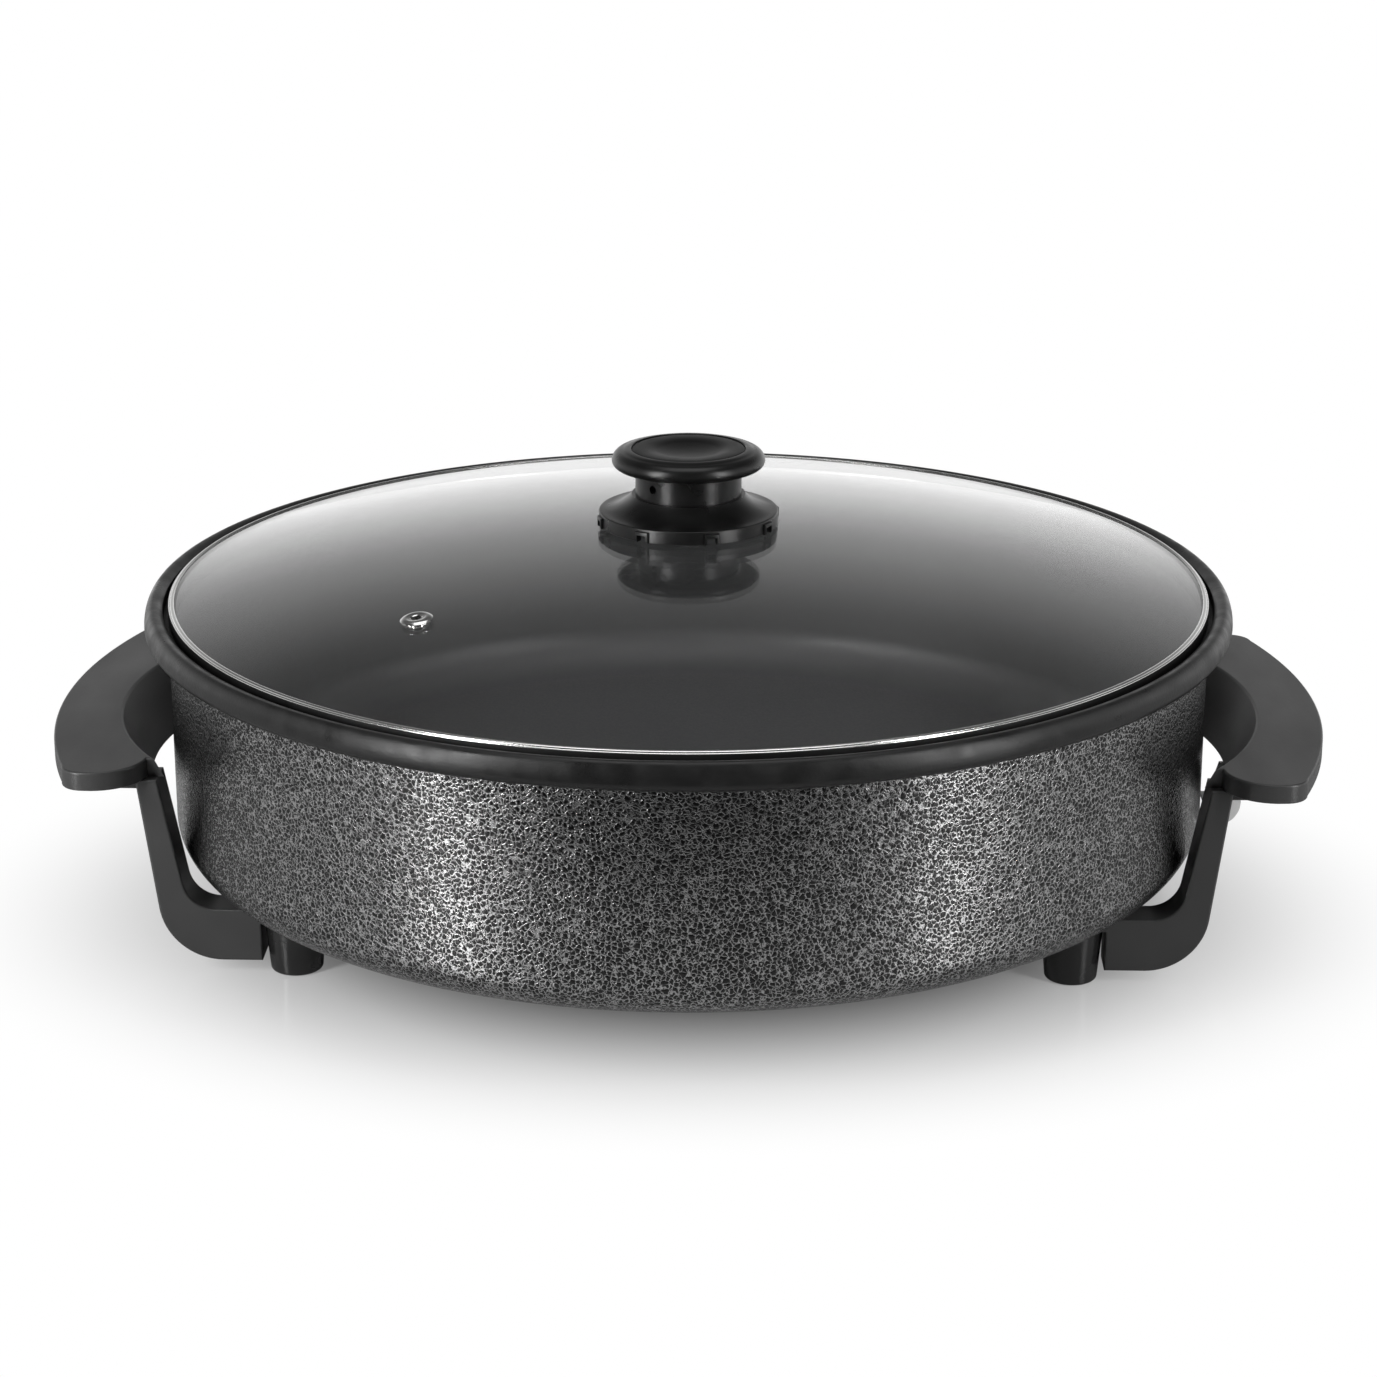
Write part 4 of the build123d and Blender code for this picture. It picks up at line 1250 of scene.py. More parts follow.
@dataclass
class Knob(SubAssembly):
    """The knob: a flared skirt with hooded notches, a neck under a rolled cap, and a dished inlay."""

    skirt_r: float = 35.5
    skirt_low: float = 161.9
    skirt_band: float = 167.2
    skirt_wall: float = 2.2
    skirt_soft: float = 0.6
    roof: Point2 = (19.5, 169.0)
    flare_foot: Point2 = (27.4, 169.2)
    flare_top: Point2 = (22.5, 173.5)
    hub_r: float = 12.0
    gasket_top: float = 162.3
    bore_r: float = 2.7
    notch_count: int = 8
    notch_first: float = -73.5
    notch: Point2 = (2.0, 2.8)
    hood: Point2 = (2.8, 4.2)
    hood_soft: float = 0.35
    neck_r: float = 21.0
    neck_low: float = 173.5
    cap_low: float = 184.5
    cap_wide: float = 187.3
    cap_top: float = 192.0
    cap_r: float = 30.3
    cap_under: float = 27.4
    cap_crown: float = 26.0
    inlay_r: float = 22.4
    seat_r: float = 22.6
    seat_z: float = 189.8
    peg_r: float = 5.0
    peg_z: float = 186.0
    pin_angle: float = -130.0
    pin_r: float = 1.65
    pin_z: float = 178.8
    pin_depth: float = 7.0
    drill_length: float = 12.0

    def skirt(self) -> Piece:
        """Turns the skirt, then adds the hoods and cuts the notches.

        Returns:
            The piece, with its finish.
        """
        inner, outer = self.skirt_r - self.skirt_wall, self.skirt_r
        low, band = self.skirt_low, self.skirt_band
        soft, (roof_r, roof_z) = self.skirt_soft, self.roof
        section = Outline((self.bore_r, self.gasket_top), (self.hub_r, self.gasket_top))
        section.to((self.hub_r, roof_z), (roof_r, roof_z), (27.0, band - 0.4))
        section.to((inner, band - 2.4), (inner, low))
        section.to((outer - 0.2, low), (outer, low + 0.2), (outer, band - soft))
        section.turn((outer - soft, band - soft), (soft, soft), 0, 90, 4)
        section.through(self.flare_foot, self.flare_top, 14)
        section.to((self.bore_r, self.neck_low))
        piece = self.shop.turned("knob_flared_skirt", section, Finishes.knob, KNOB_STEPS)
        (notch, deep), (half, high) = self.notch, self.hood
        hood = box_piece((inner + 0.4, -half, low), (outer + 1.0, half, low + high))
        with opened(hood.data) as shell:
            soften(shell, lambda a, b: min(a.x, b.x) > outer, self.hood_soft, 2)
        cut = box_piece((inner - 2.0, -notch, low - 1.0), (outer + 3.0, notch, low + deep))
        first, black = math.radians(self.notch_first), Finishes.knob.material()
        for tool in (hood, cut):
            self.shop.ring.run(tool, count=self.notch_count, first_angle=first, finish=black)
        combine(piece, [hood], "UNION")
        return cut_out(piece, cut)

    def grip(self) -> Piece:
        """Turns the neck and cap, and drills the small hole in the neck.

        Returns:
            The piece, with its finish.
        """
        low, top, neck = self.cap_low, self.cap_top, self.neck_r
        section = Outline((0.0, self.peg_z), (0.0, self.neck_low), (neck, self.neck_low))
        section.to((neck, low - 1.2)).through((neck + 1.0, low - 0.35), (neck + 2.4, low), 5)
        section.to((self.cap_under, low)).through((29.5, low + 0.9), (self.cap_r, self.cap_wide), 7)
        section.through((self.cap_r - 1.2, self.cap_wide + 2.6), (self.cap_crown, top - 0.7), 8)
        section.through((24.4, top - 0.15), (self.seat_r + 0.3, top), 5)
        section.to((self.seat_r, top - 0.3), (self.seat_r, self.seat_z), (self.peg_r + 0.05, self.seat_z))
        section.to((self.peg_r + 0.05, self.peg_z))
        piece = self.shop.turned("knob_neck_and_cap", section, Finishes.knob, KNOB_STEPS)
        bore = Outline.rod(self.pin_r, 0.0, self.drill_length)
        tool = self.shop.turned("drill", bore, Finishes.knob, BORE_STEPS)
        turn = Matrix.Rotation(math.radians(self.pin_angle), 4, "Z")
        lay = Matrix.Rotation(math.radians(90), 4, "Y")
        tool.data.transform(turn @ shift(neck - self.pin_depth, 0.0, self.pin_z) @ lay)
        return cut_out(piece, tool)

    def inlay(self) -> Piece:
        """Turns the dished disc in the top of the cap.

        Returns:
            The piece, with its finish.
        """
        top = self.cap_top
        section = Outline((0.0, self.peg_z), (0.0, top - 2.2))
        section.through((7.0, top - 1.8), (12.5, top - 0.95), 12)
        section.through((15.5, top - 0.3), (18.6, top - 0.12), 8)
        section.through((20.8, top - 0.18), (self.inlay_r - 0.3, top - 0.35), 5)
        section.to((self.inlay_r, top - 0.6))
        section.to((self.inlay_r, self.seat_z), (self.peg_r, self.seat_z), (self.peg_r, self.peg_z))
        return self.shop.turned("knob_dished_inlay", section, Finishes.inlay, KNOB_STEPS)

    def build(self) -> None:
        """Builds the knob's pieces, hands them over, and finishes its small parts."""
        self.shop.hand_over(self.skirt(), Body.LID, "knob_plastic", "knob_skirt")
        self.shop.hand_over(self.grip(), Body.LID, "knob_plastic", "knob_grip")
        self.shop.hand_over(self.inlay(), Body.LID, "knob_plastic", "knob_inlay")
        self.shop.keep("knob_gasket", Finishes.rubber)
        self.shop.keep("knob_insert", Finishes.brass)
        self.shop.keep("knob_washer", Finishes.screw)


# ---------------------------------------------------------------- grips


@dataclass
class Grip(SubAssembly):
    """A flat crescent grip with a curved heat shield under its inner edge."""

    hand: Hand
    top_z: float = 87.5
    low_z: float = GRIP_LOW_Z
    outer_r: float = 252.0
    corner_y: float = 86.5
    tip: Point2 = (205.5, 77.5)
    axis_x: float = 90.0
    inner_r: float = 137.0
    shield_low_z: float = 62.0
    shield_low_r: float = 126.0
    shield_t: float = 3.0
    flat_y: float = 34.0
    rise_y: float = 62.0
    edge: float = 1.5
    low_edge: float = 0.6
    low_edge_r: float = 219.0
    shield_edge: float = 0.7
    arc_step: float = 14.0
    shield_step: float = 8.0
    columns: tuple[float, ...] = (77.5, 74.5, 71.5, 68.5, 65.0, 62.0, *range(58, 6, -4), 5.0, 0.0)

    def wall_x(self, y: float, z: float, out: float = 0.0) -> float:
        """Gives the X of the inner wall at y and z, or of a wall that lies further out.

        Args:
            y: Distance from the grip's middle.
            z: Height.
            out: How far the wall lies outside the inner one.

        Returns:
            The wall's X.
        """
        lean = (self.inner_r - self.shield_low_r) / (self.top_z - self.shield_low_z)
        radius = self.inner_r + (z - self.top_z) * lean + out
        return self.axis_x + math.sqrt(radius**2 - y**2)

    def shield_z(self, y: float) -> float:
        """Gives the height of the shield's lower edge at y."""
        share = (abs(y) - self.flat_y) / (self.rise_y - self.flat_y)
        return self.shield_low_z + (self.low_z - self.shield_low_z) * min(1.0, max(0.0, share))

    def outer_edge(self) -> list[Point2]:
        """Draws the plate's outer edge, from one tip to the other.

        Returns:
            The edge's points.
        """
        corner = math.degrees(math.asin(self.corner_y / self.outer_r))
        half = Outline((self.outer_r, 0.0)).turn((0.0, 0.0), (self.outer_r, self.outer_r), 0, corner, 26)
        half.through((233.6, 92.6), (227.0, 95.0), 8)
        half.through((213.0, 91.2), self.tip, 12)
        return [(x, -y) for x, y in reversed(half.points[1:])] + half.points

    def fill(self, shell: Shell) -> None:
        """Adds the plate and its shield to an empty mesh, as one closed shell.

        Args:
            shell: The empty mesh.
        """

        def spot(x: float, y: float, z: float) -> bmesh.types.BMVert:
            """Adds one point."""
            return shell.verts.new((x * MM, y * MM, z * MM))

        outer = self.outer_edge()
        ys = [*self.columns, *(-y for y in reversed(self.columns[:-1]))]
        top_out = [spot(x, y, self.top_z) for x, y in outer]
        low_out = [spot(x, y, self.low_z) for x, y in outer]
        top_in = [spot(self.wall_x(y, self.top_z), y, self.top_z) for y in ys]
        low_in = [spot(self.wall_x(y, self.shield_z(y)), y, self.shield_z(y)) for y in ys]
        back_low: list = [None] * len(ys)
        back_top: list = [None] * len(ys)
        for k, y in enumerate(ys):
            if abs(y) <= self.rise_y:
                z = self.shield_z(y)
                back_low[k] = back_top[k] = spot(self.wall_x(y, z, self.shield_t), y, z)
            if abs(y) < self.rise_y:
                back_top[k] = spot(self.wall_x(y, self.low_z, self.shield_t), y, self.low_z)
        shell.faces.new(top_out + top_in)
        for k in range(len(outer) - 1):
            shell.faces.new((top_out[k], top_out[k + 1], low_out[k + 1], low_out[k]))
        shell.faces.new((top_out[-1], top_in[0], low_in[0], low_out[-1]))
        shell.faces.new((top_in[-1], top_out[0], low_out[0], low_in[-1]))
        for k in range(len(ys) - 1):
            shell.faces.new((top_in[k], top_in[k + 1], low_in[k + 1], low_in[k]))
            if back_low[k] and back_low[k + 1]:
                shell.faces.new((low_in[k], low_in[k + 1], back_low[k + 1], back_low[k]))
                ring = [back_low[k], back_low[k + 1], back_top[k + 1], back_top[k]]
                shell.faces.new(list(dict.fromkeys(ring)))
        first, last = ys.index(self.rise_y), ys.index(-self.rise_y)
        inside = low_in[: first + 1] + back_top[first : last + 1] + low_in[last:]
        shell.faces.new(low_out + inside)
        bmesh.ops.recalc_face_normals(shell, faces=shell.faces)

    def on_low_edge(self, a: Vector, b: Vector) -> bool:
        """Says whether an edge runs along the lower outer edge of the plate.

        Args:
            a: One end of the edge.
            b: Its other end.

        Returns:
            True if it does.
        """
        level = max(abs(a.z - self.low_z), abs(b.z - self.low_z)) < NEAR
        far = min(math.hypot(a.x, a.y), math.hypot(b.x, b.y)) > self.low_edge_r
        return level and far and abs(a.y - b.y) + abs(a.x - b.x) < self.arc_step

    def on_shield_edge(self, a: Vector, b: Vector) -> bool:
        """Says whether an edge runs along the lower edge of the shield."""
        short = (a - b).length < self.shield_step
        return short and max(a.z, b.z) < self.low_z - 2.0 and abs(a.y - b.y) > 0.5

    def moulding(self) -> Piece:
        """Makes the grip, rounds its edges and mirrors it to its side.

        Returns:
            The piece, with its finish.
        """
        name = f"{self.hand.name.lower()}_grip_moulding"
        piece = placed(name, bpy.data.meshes.new(name))
        with opened(piece.data) as shell:
            self.fill(shell)
            soften(shell, lambda a, b: min(a.z, b.z) > self.top_z - NEAR, self.edge, 6)
            soften(shell, self.on_low_edge, self.low_edge, 3)
            soften(shell, self.on_shield_edge, self.shield_edge, 3)
            if self.hand is Hand.LEFT:
                bmesh.ops.scale(shell, vec=(-1, 1, 1), verts=shell.verts)
                bmesh.ops.reverse_faces(shell, faces=shell.faces)
        piece.data.materials.append(Finishes.phenolic.material())
        smooth(piece.data)
        return keep_flats_flat(piece)

    def build(self) -> None:
        """Builds the grip and hands it over."""
        self.shop.hand_over(self.moulding(), Body.SKILLET, "black_plastic", f"{self.hand.name.lower()}_grip")


# ---------------------------------------------------------------- legs and feet


@dataclass
class Leg(CornerPiece):
    """One leg: a leaning post bent into a level beam, with an ear under the grip and an eye at the foot."""

    mid_y: float = FOOT_Y
    half: float = 8.0
    top_z: float = GRIP_LOW_Z
    beam: Point2 = (5.8, 27.0)
    beam_end_x: float = 163.3
    outer_x: Point2 = (209.763, 200.117)
    inner_x: Point2 = (201.296, 191.194)
    bends: Point2 = (24.5, 12.7)
    edge: float = 0.9
    ear_x: float = EAR_X
    ear_end_x: float = 230.0
    ear_t: float = 4.0
    ear_half: float = 6.0
    ear_bore_r: float = 2.05
    ear_sink_r: float = 3.9
    foot_x: float = FOOT_X
    foot_h: float = FOOT_HEIGHT
    eye_r: float = 11.0
    eye_bore_r: float = 2.7
    eye_steps: int = 48

    def post(self) -> Piece:
        """Makes the post and beam with rounded edges.

        Returns:
            The piece, still without a finish.
        """
        low, high = self.beam
        corners = [
            (self.outer_x[0], self.top_z),
            (self.outer_x[1], low),
            (self.beam_end_x, low),
            (self.beam_end_x, high),
            (self.inner_x[1], high),
            (self.inner_x[0], self.top_z),
        ]
        line = Outline.rounded(corners, (0, self.bends[0], 0, 0, self.bends[1], 0), 18, True)
        faces = (self.mid_y - self.half, self.mid_y + self.half)
        piece = extruded(f"leg_{self.corner}_moulding", line.points, *faces)

        def on_face(a: Vector, b: Vector) -> bool:
            """Says whether an edge runs round one of the two flat faces."""
            return abs(a.y - b.y) < NEAR and min(abs(a.y - faces[0]), abs(a.y - faces[1])) < NEAR

        with opened(piece.data) as shell:
            soften(shell, on_face, self.edge, 4)
        return piece

    def build(self) -> None:
        """Joins the post, ear and eye, drills them and hands the leg over."""
        piece = self.post()
        ear = box_piece(
            (self.inner_x[0] + 4.0, self.mid_y - self.ear_half, self.top_z - self.ear_t),
            (self.ear_end_x, self.mid_y + self.ear_half, self.top_z - 0.02),
        )
        rod = Outline.rod(self.eye_r, self.foot_h, self.beam[1])
        disc = self.shop.turned("eye", rod, Finishes.phenolic, self.eye_steps)
        disc.data.transform(shift(self.foot_x, self.mid_y))
        strap = box_piece(
            (self.foot_x, self.mid_y - self.half, self.foot_h),
            (self.beam_end_x + 2.0, self.mid_y + self.half, self.beam[1]),
        )
        combine(piece, [ear, disc, strap], "UNION")
        low, sink, bore = self.top_z - self.ear_t, self.ear_sink_r, self.ear_bore_r
        sunk = Outline((0.0, low - 1.0), (sink, low - 1.0), (sink, low), (bore, low + sink - bore))
        sunk.to((bore, self.top_z + 2.0), (0.0, self.top_z + 2.0))
        bores = []
        for x, line in (
            (self.foot_x, Outline.rod(self.eye_bore_r, self.foot_h - 2.0, self.beam[1] + 2.0)),
            (self.ear_x, sunk),
        ):
            bores.append(self.shop.turned("bore", line, Finishes.phenolic, BORE_STEPS))
            bores[-1].data.transform(shift(x, self.mid_y))
        combine(piece, bores, "DIFFERENCE")
        piece.data.transform(Matrix.Diagonal((self.hand.value, self.row.value, 1, 1)))
        face_outwards(piece.data)
        dress(piece.data, Finishes.phenolic.material())
        smooth(piece.data)
        keep_flats_flat(piece)
        self.shop.hand_over(piece, Body.SKILLET, "black_plastic", f"leg_{self.corner}")


@dataclass
class Foot(CornerPiece):
    """One turned foot with a counterbore for its screw."""

    low_r: float = 10.1
    top_r: float = 12.0
    height: float = FOOT_HEIGHT
    soft: float = 1.6
    sink_r: float = 5.2
    sink_z: float = 9.0
    bore_r: float = 2.7

    def build(self) -> None:
        """Turns the foot and hands it over."""
        section = Outline((self.bore_r, self.height), (self.bore_r, self.sink_z), (self.sink_r, self.sink_z))
        section.to((self.sink_r, 0.3), (self.sink_r + 0.3, 0.0), (self.low_r - self.soft, 0.0))
        section.turn((self.low_r - self.soft, self.soft), (self.soft + 0.12, self.soft), 270, 88, 7)
        section.along((self.top_r, self.height - 0.4), 4)
        section.to((self.top_r - 0.4, self.height))
        piece = self.shop.turned(f"foot_{self.corner}_turned", section, Finishes.foot, SMALL_STEPS)
        piece.data.transform(shift(FOOT_X * self.hand.value, FOOT_Y * self.row.value))
        self.shop.hand_over(piece, Body.SKILLET, "foot_plastic", f"foot_{self.corner}")


# ---------------------------------------------------------------- plug guard


@dataclass
class PlugGuard(SubAssembly):
    """The bent steel plate under the right grip."""

    line: tuple[Point2, ...] = ((243.0, 79.25), (229.3, 79.25), (220.6, 59.5), (220.6, 43.2), (209.5, 43.2))
    bends: tuple[float, ...] = (0.0, 3.0, 15.0, 9.0, 0.0)
    sheet: float = 1.5
    half: float = 18.0
    edge: float = 0.3
    cheek: tuple[Point2, ...] = (
        (214.2, 43.7), (217.9, 45.8), (219.9, 48.8), (220.6, 52.2),
        (220.6, 57.0), (216.6, 57.0), (214.2, 49.0),
    )  # fmt: skip

    def on_end(self, a: Vector, b: Vector) -> bool:
        """Says whether an edge lies in one of the plate's two ends."""
        return abs(a.y - b.y) < NEAR and abs(abs(a.y) - self.half) < NEAR

    def build(self) -> None:
        """Bends the plate along its line, adds the cheeks and hands it over."""
        middle = [Vector(p) for p in Outline.rounded(self.line, self.bends, 12, False).points]
        sides: list[list[Point2]] = [[], []]
        for k, here in enumerate(middle):
            run = middle[min(k + 1, len(middle) - 1)] - middle[max(k - 1, 0)]
            out = Vector((-run.y, run.x)).normalized() * self.sheet / 2
            sides[0].append(tuple(here + out))
            sides[1].append(tuple(here - out))
        piece = extruded("plug_guard_plate", sides[0] + sides[1][::-1], -self.half, self.half)
        cheeks = [
            extruded("plug_guard_cheek", list(self.cheek), low, low + self.sheet)
            for low in (-self.half, self.half - self.sheet)
        ]
        combine(piece, cheeks, "UNION")
        with opened(piece.data) as shell:
            soften(shell, self.on_end, self.edge, 2)
        piece.data.materials.append(Finishes.guard.material())
        smooth(piece.data)
        self.shop.hand_over(keep_flats_flat(piece), Body.SKILLET, "guard_steel", "plug_guard")


# ---------------------------------------------------------------- heater and inlet


@dataclass
class Heater(SubAssembly):
    """The ring element under the base, its leads, and the inlet they end in."""

    ring_r: float = 130.0
    tube_r: float = 3.3
    lead_y: float = 15.0
    bend: float = 16.0
    height: float = 26.5
    lead_end: float = 156.0

    def build(self) -> None:
        """Sweeps the element and finishes the CAD nodes beside it."""
        turn_y = self.lead_y + self.bend
        turn_x = math.sqrt((self.ring_r + self.bend) ** 2 - turn_y**2)
        angle = math.degrees(math.atan2(turn_y, turn_x))
        line = Outline((self.lead_end, self.lead_y), (turn_x, self.lead_y))
        line.turn((turn_x, turn_y), (self.bend, self.bend), 270, angle - 90, 12)
        line.turn((0.0, 0.0), (self.ring_r, self.ring_r), angle, 360 - 2 * angle, 180)
        line.turn((turn_x, -turn_y), (self.bend, self.bend), 180 - angle, angle - 90, 12)
        line.to((self.lead_end, -self.lead_y))
        points = [(x, y, self.height) for x, y in line.points]
        piece = new_piece("heating_tube", points, edges=[(k, k + 1) for k in range(len(points) - 1)])
        self.shop.tube.run(piece, radius=self.tube_r * MM, sides=24, finish=Finishes.sheath.material())
        face_outwards(piece.data)
        smooth(piece.data)
        self.shop.hand_over(piece, Body.SKILLET, "heater_sheath", "heating_element")
        for node, finish in (
            ("heater_cradle", Finishes.cradle),
            ("probe_block", Finishes.cradle),
            ("foot_standoffs", Finishes.screw),
            ("terminal_pins", Finishes.nickel),
            ("terminal_insulators", Finishes.ceramic),
            ("probe_sleeve", Finishes.sleeve),
            ("inlet_housing", Finishes.phenolic),
        ):
            self.shop.keep(node, finish)


# ---------------------------------------------------------------- screws


@dataclass(frozen=True)
class ScrewSize:
    """A cross-recessed screw that points up, its head's lowest point at zero."""

    head_r: float
    head_t: float
    shank_r: float
    length: float
    slot: Point3
    sunk: bool = False

    def blank(self, shop: Workshop) -> Piece:
        """Turns the head and shank, and cuts the cross.

        Args:
            shop: The workshop.

        Returns:
            One screw at the origin.
        """
        if self.sunk:
            section = Outline((0.0, 0.0), (self.head_r, 0.0), (self.shank_r, self.head_r - self.shank_r))
        else:
            section = Outline((0.0, 0.0)).along((self.head_r * 0.55, 0.0), 2)
            section.through((self.head_r * 0.88, self.head_t * 0.22), (self.head_r, self.head_t * 0.7), 6)
            section.to((self.head_r, self.head_t), (self.shank_r, self.head_t))
        section.to((self.shank_r, self.length - 0.4), (self.shank_r - 0.4, self.length), (0.0, self.length))
        piece = shop.turned("screw", section, Finishes.screw, SCREW_STEPS)
        long, wide, deep = (value / 2 for value in self.slot)
        cuts = [
            box_piece((-long, -wide, -1.0), (long, wide, 2 * deep)),
            box_piece((-wide, -long, -1.0), (wide, long, 2 * deep)),
        ]
        return combine(piece, cuts, "DIFFERENCE")


@dataclass(frozen=True)
class ScrewSet:
    """Equal screws that stand in rows."""

    node: str
    size: ScrewSize
    counts: tuple[int, int]
    pitches: Point2
    centre: Point3
    body: Body = Body.SKILLET

    def build(self, shop: Workshop) -> None:
        """Copies the screw to its places and hands the set over.

        Args:
            shop: The workshop.
        """
        piece = self.size.blank(shop)
        piece.name = f"{self.node}_steel"
        shop.rows.run(
            piece,
            columns=self.counts[0],
            rows=self.counts[1],
            column_pitch=self.pitches[0] * MM,
            row_pitch=self.pitches[1] * MM,
            centre=tuple(c * MM for c in self.centre),
            finish=Finishes.screw.material(),
        )
        smooth(piece.data)
        shop.hand_over(piece, self.body, "screw_steel", self.node)


SMALL_CROSS = (4.6, 1.0, 1.3)
LARGE_CROSS = (6.0, 1.2, 1.6)
FOOT_SCREW = ScrewSize(4.6, 3.0, 2.5, 27.1, LARGE_CROSS)
GRIP_SCREW = ScrewSize(3.9, 2.2, 1.7, 8.8, SMALL_CROSS, True)
GUARD_SCREW = ScrewSize(3.4, 2.4, 1.7, 8.7, SMALL_CROSS)
INLET_SCREW = ScrewSize(3.4, 2.4, 1.7, 22.0, SMALL_CROSS)
KNOB_SCREW = ScrewSize(4.6, 3.0, 2.5, 27.5, LARGE_CROSS)
SCREWS = (
    ScrewSet("foot_screws", FOOT_SCREW, (2, 2), (2 * FOOT_X, 2 * FOOT_Y), (0.0, 0.0, 6.0)),
    ScrewSet("grip_screws", GRIP_SCREW, (2, 2), (2 * EAR_X, 2 * FOOT_Y), (0.0, 0.0, 76.0)),
    ScrewSet("guard_screws", GUARD_SCREW, (1, 2), (0.0, 20.0), (237.0, 0.0, 76.1)),
    ScrewSet("inlet_screws", INLET_SCREW, (1, 2), (0.0, 45.0), (164.0, 0.0, 14.6)),
    ScrewSet("knob_screw", KNOB_SCREW, (1, 1), (0.0, 0.0), (0.0, 0.0, 153.0), Body.LID),
)


# ---------------------------------------------------------------- studio


@dataclass(frozen=True)
class Lamp:
    """A soft box: where it hangs, its size and its power."""

    name: str
    spot: Point3
    size: Point2
    watts: float
    aim: Point3 = (0.0, 0.0, 0.08)

    def hang(self) -> None:
        """Makes the lamp and points it at its aim."""
        lamp = bpy.data.lights.new(self.name, "AREA")
        lamp.shape = "RECTANGLE"
        lamp.size, lamp.size_y = self.size
        lamp.energy = self.watts
        holder = placed(self.name, lamp)
        holder.location = self.spot
        way = Vector(self.aim) - Vector(self.spot)
        holder.rotation_euler = way.to_track_quat("-Z", "Y").to_euler()


@dataclass(frozen=True)
class StudioFloor(Finish):
    """A pale table that fades to plain white away from the object."""

    fade: Point2 = (0.09, 0.24)
    back_fade: Point2 = (0.35, 0.65)
    oval: Point3 = (0.76, 1.0, 1.0)
    cloud_scale: float = 9.0
    drift: float = 0.03

    def shader(self, sketch: NodeSketch) -> Socket:
        """Adds the nodes of the floor.

        Args:
            sketch: The material's tree.

        Returns:
            The shader that goes to the surface.
        """
        place = sketch.out("ShaderNodeTexCoord", None, "Object")
        clouds = sketch.noise(place, self.cloud_scale, 3.0)
        gloss = (self.roughness - self.drift, self.roughness + self.drift)
        near = sketch.out(
            "ShaderNodeBsdfPrincipled",
            {
                "Base Color": (*self.colour, 1.0),
                "Roughness": sketch.spread(clouds, (0.0, 1.0), gloss),
                "Specular IOR Level": self.specular,
            },
        )
        white = sketch.out("ShaderNodeEmission", {"Color": (1.0, 1.0, 1.0, 1.0), "Strength": 1.0})
        oval = sketch.out("ShaderNodeMapping", {"Vector": place, "Scale": self.oval})
        reach = sketch.out("ShaderNodeVectorMath", {0: oval}, "Value", operation="LENGTH")
        path = sketch.add("ShaderNodeLightPath").outputs
        seen = sketch.math("MAXIMUM", path["Is Camera Ray"], path["Is Transmission Ray"])
        far = sketch.math("MULTIPLY", sketch.spread(reach, self.fade, smooth=True), seen)
        behind = sketch.out("ShaderNodeSeparateXYZ", {0: place}, 1)
        mirrored = sketch.spread(behind, self.back_fade, smooth=True)
        share = sketch.math("MAXIMUM", far, sketch.math("MULTIPLY", mirrored, path["Is Glossy Ray"]))
        return sketch.either(share, near, white)


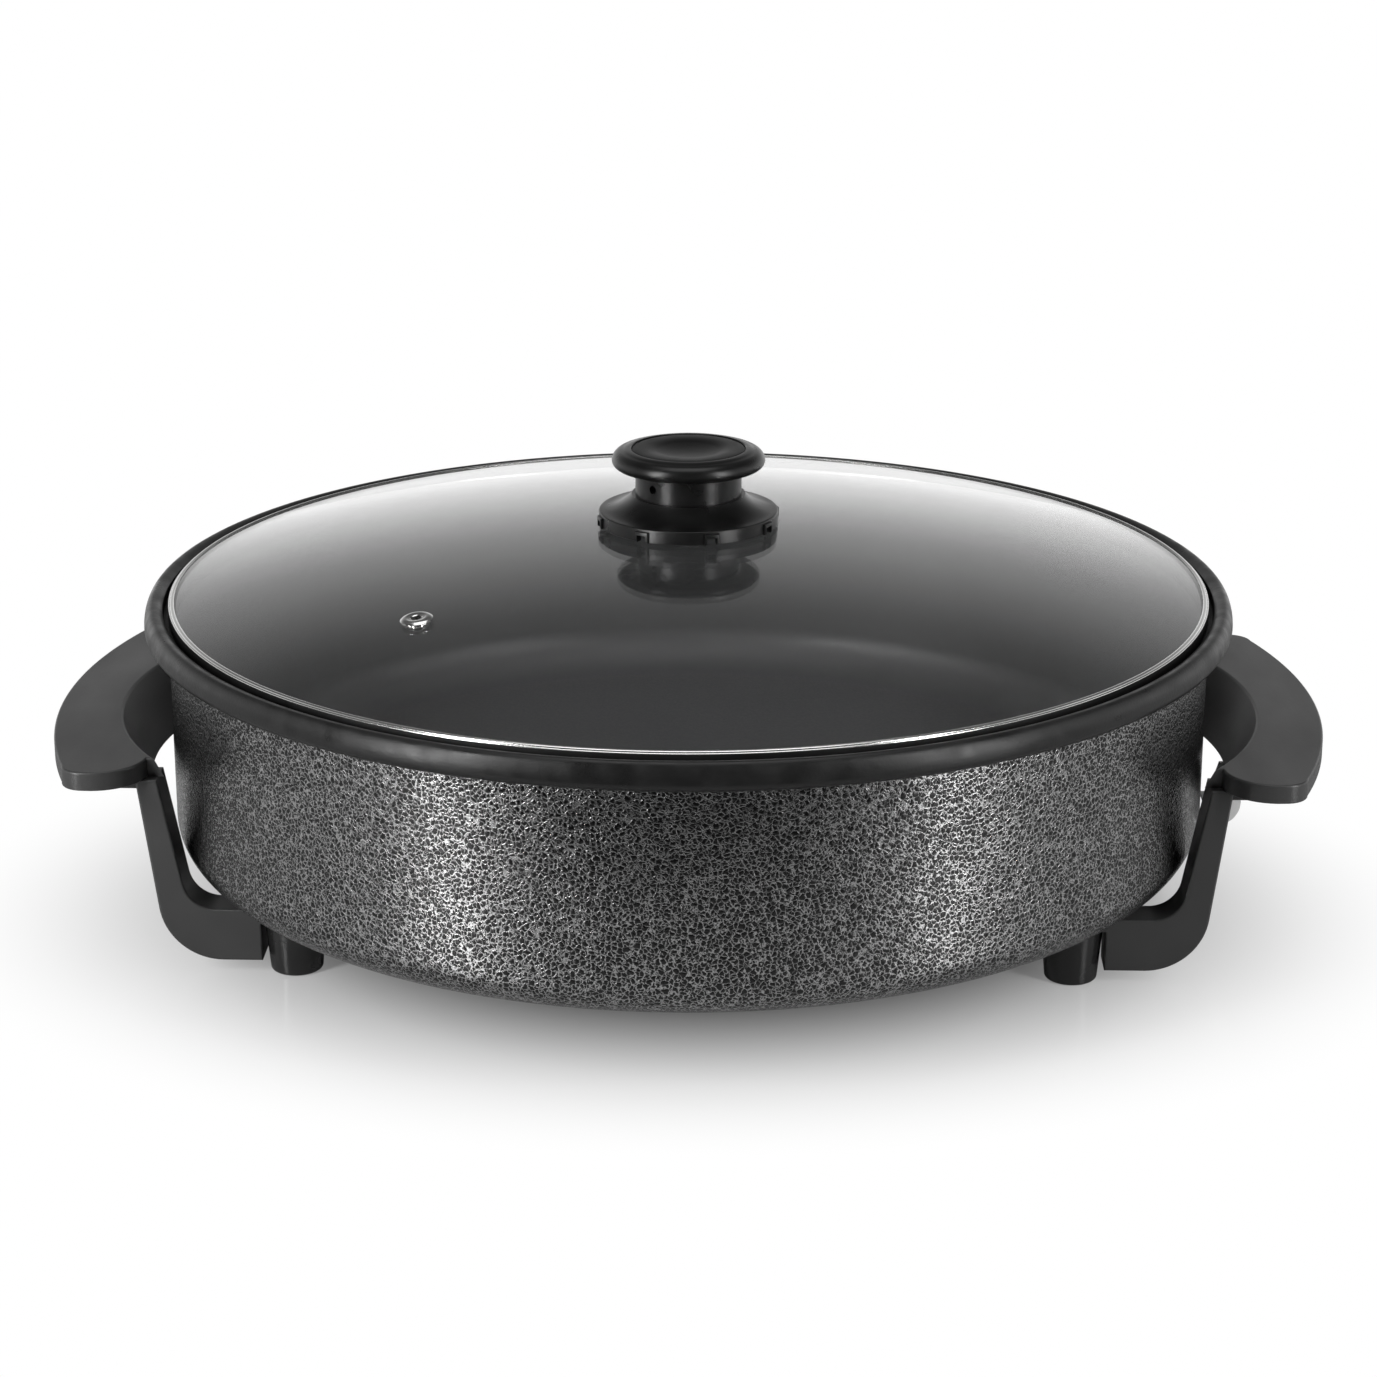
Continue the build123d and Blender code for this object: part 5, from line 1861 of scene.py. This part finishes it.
@dataclass
class Studio:
    """The pale floor, soft boxes, surroundings and camera."""

    lens: float = 88.9
    distance: float = 1.370
    target_z: float = 0.092
    elevation: float = 18.35
    sideways: float = 1.8
    sensor: float = 36.0
    far_clip: float = 50.0
    floor_half: float = 4.0
    floor_front: float = 0.42
    sky_strength: float = 1.22
    front_share: float = 0.08
    front_fade: Point2 = (-0.25, 0.3)
    sky: tuple[Point2, ...] = (
        (0.0, 1.0), (0.087, 0.86), (0.174, 0.71), (0.225, 0.59), (0.284, 0.47), (0.342, 0.39),
        (0.454, 0.21), (0.5, 0.14), (0.56, 0.10), (0.643, 0.08), (1.0, 0.10),
    )  # fmt: skip
    lamps: tuple[Lamp, ...] = (
        Lamp("overhead_box", (0.0, -0.1, 1.7), (1.2, 1.0), 8.0),
        Lamp("left_strip", (-0.88, -0.82, 0.6), (0.26, 1.15), 20.0, (0.0, 0.0, 0.6)),
        Lamp("right_strip", (0.96, -0.72, 0.6), (0.24, 1.15), 13.0, (0.0, 0.0, 0.6)),
        Lamp("left_bank", (-1.3, -0.1, 0.6), (0.9, 1.0), 1.2, (0.0, 0.0, 0.5)),
        Lamp("right_bank", (1.3, -0.1, 0.6), (0.9, 1.0), 1.8, (0.0, 0.0, 0.5)),
    )

    def floor(self) -> None:
        """Lays the floor."""
        half, front = self.floor_half / MM, self.floor_front / MM
        piece = new_piece(
            "table_top",
            [(-half, -front, 0), (half, -front, 0), (half, half, 0), (-half, half, 0)],
            faces=[(0, 1, 2, 3)],
        )
        piece.data.materials.append(StudioFloor("pale_table", grey(0.49), 0.14).material())

    def surroundings(self) -> None:
        """Makes the world: white at the horizon and dim above, plain white to the camera."""
        world = bpy.data.worlds.new("studio")
        bpy.context.scene.world = world
        world.use_nodes = True
        sketch = NodeSketch(world.node_tree)
        way = sketch.out("ShaderNodeTexCoord", None, "Generated")
        axes = sketch.add("ShaderNodeSeparateXYZ", {0: way}).outputs
        ramp = sketch.add("ShaderNodeValToRGB", {0: axes[2]})
        band = ramp.color_ramp.elements
        while len(band) < len(self.sky):
            band.new(0.5)
        for mark, (spot, level) in zip(band, self.sky):
            mark.position = spot
            mark.color = (level, level, level, 1.0)
        behind = sketch.spread(axes[1], self.front_fade, (self.front_share, 1.0), True)
        level = sketch.math("MULTIPLY", behind, self.sky_strength)
        dim = sketch.out("ShaderNodeBackground", {0: ramp.outputs[0], 1: level})
        white = sketch.out("ShaderNodeBackground", {0: (1.0, 1.0, 1.0, 1.0), 1: 1.0})
        seen = sketch.out("ShaderNodeLightPath", None, "Is Camera Ray")
        sketch.add("ShaderNodeOutputWorld", {"Surface": sketch.either(seen, dim, white)})

    def camera(self) -> None:
        """Sets up the camera."""
        rise, aside = math.radians(self.elevation), math.radians(self.sideways)
        eye = bpy.data.cameras.new("camera")
        eye.lens = self.lens
        eye.sensor_width = self.sensor
        eye.sensor_fit = "AUTO"
        eye.clip_end = self.far_clip
        holder = placed("camera", eye)
        target = Vector((0, 0, self.target_z))
        away = Vector((math.cos(rise) * math.sin(aside), -math.cos(rise) * math.cos(aside), math.sin(rise)))
        holder.location = target + away * self.distance
        holder.rotation_euler = (-away).to_track_quat("-Z", "Y").to_euler()
        bpy.context.scene.camera = holder

    def build(self) -> None:
        """Sets up the whole studio."""
        self.camera()
        self.floor()
        self.surroundings()
        for lamp in self.lamps:
            lamp.hang()
        bpy.context.scene.view_settings.view_transform = "Standard"


def main() -> None:
    """Builds the skillet and its studio."""
    logging.basicConfig(level=logging.INFO, format="%(name)s %(message)s")
    Studio().build()
    shop = Workshop()
    Pan(shop).build()
    Lid(shop).build()
    Knob(shop).build()
    for hand in Hand:
        Grip(shop, hand).build()
        for row in Row:
            Leg(shop, hand, row).build()
            Foot(shop, hand, row).build()
    PlugGuard(shop).build()
    Heater(shop).build()
    for screws in SCREWS:
        screws.build(shop)


if __name__ == "__main__":
    main()
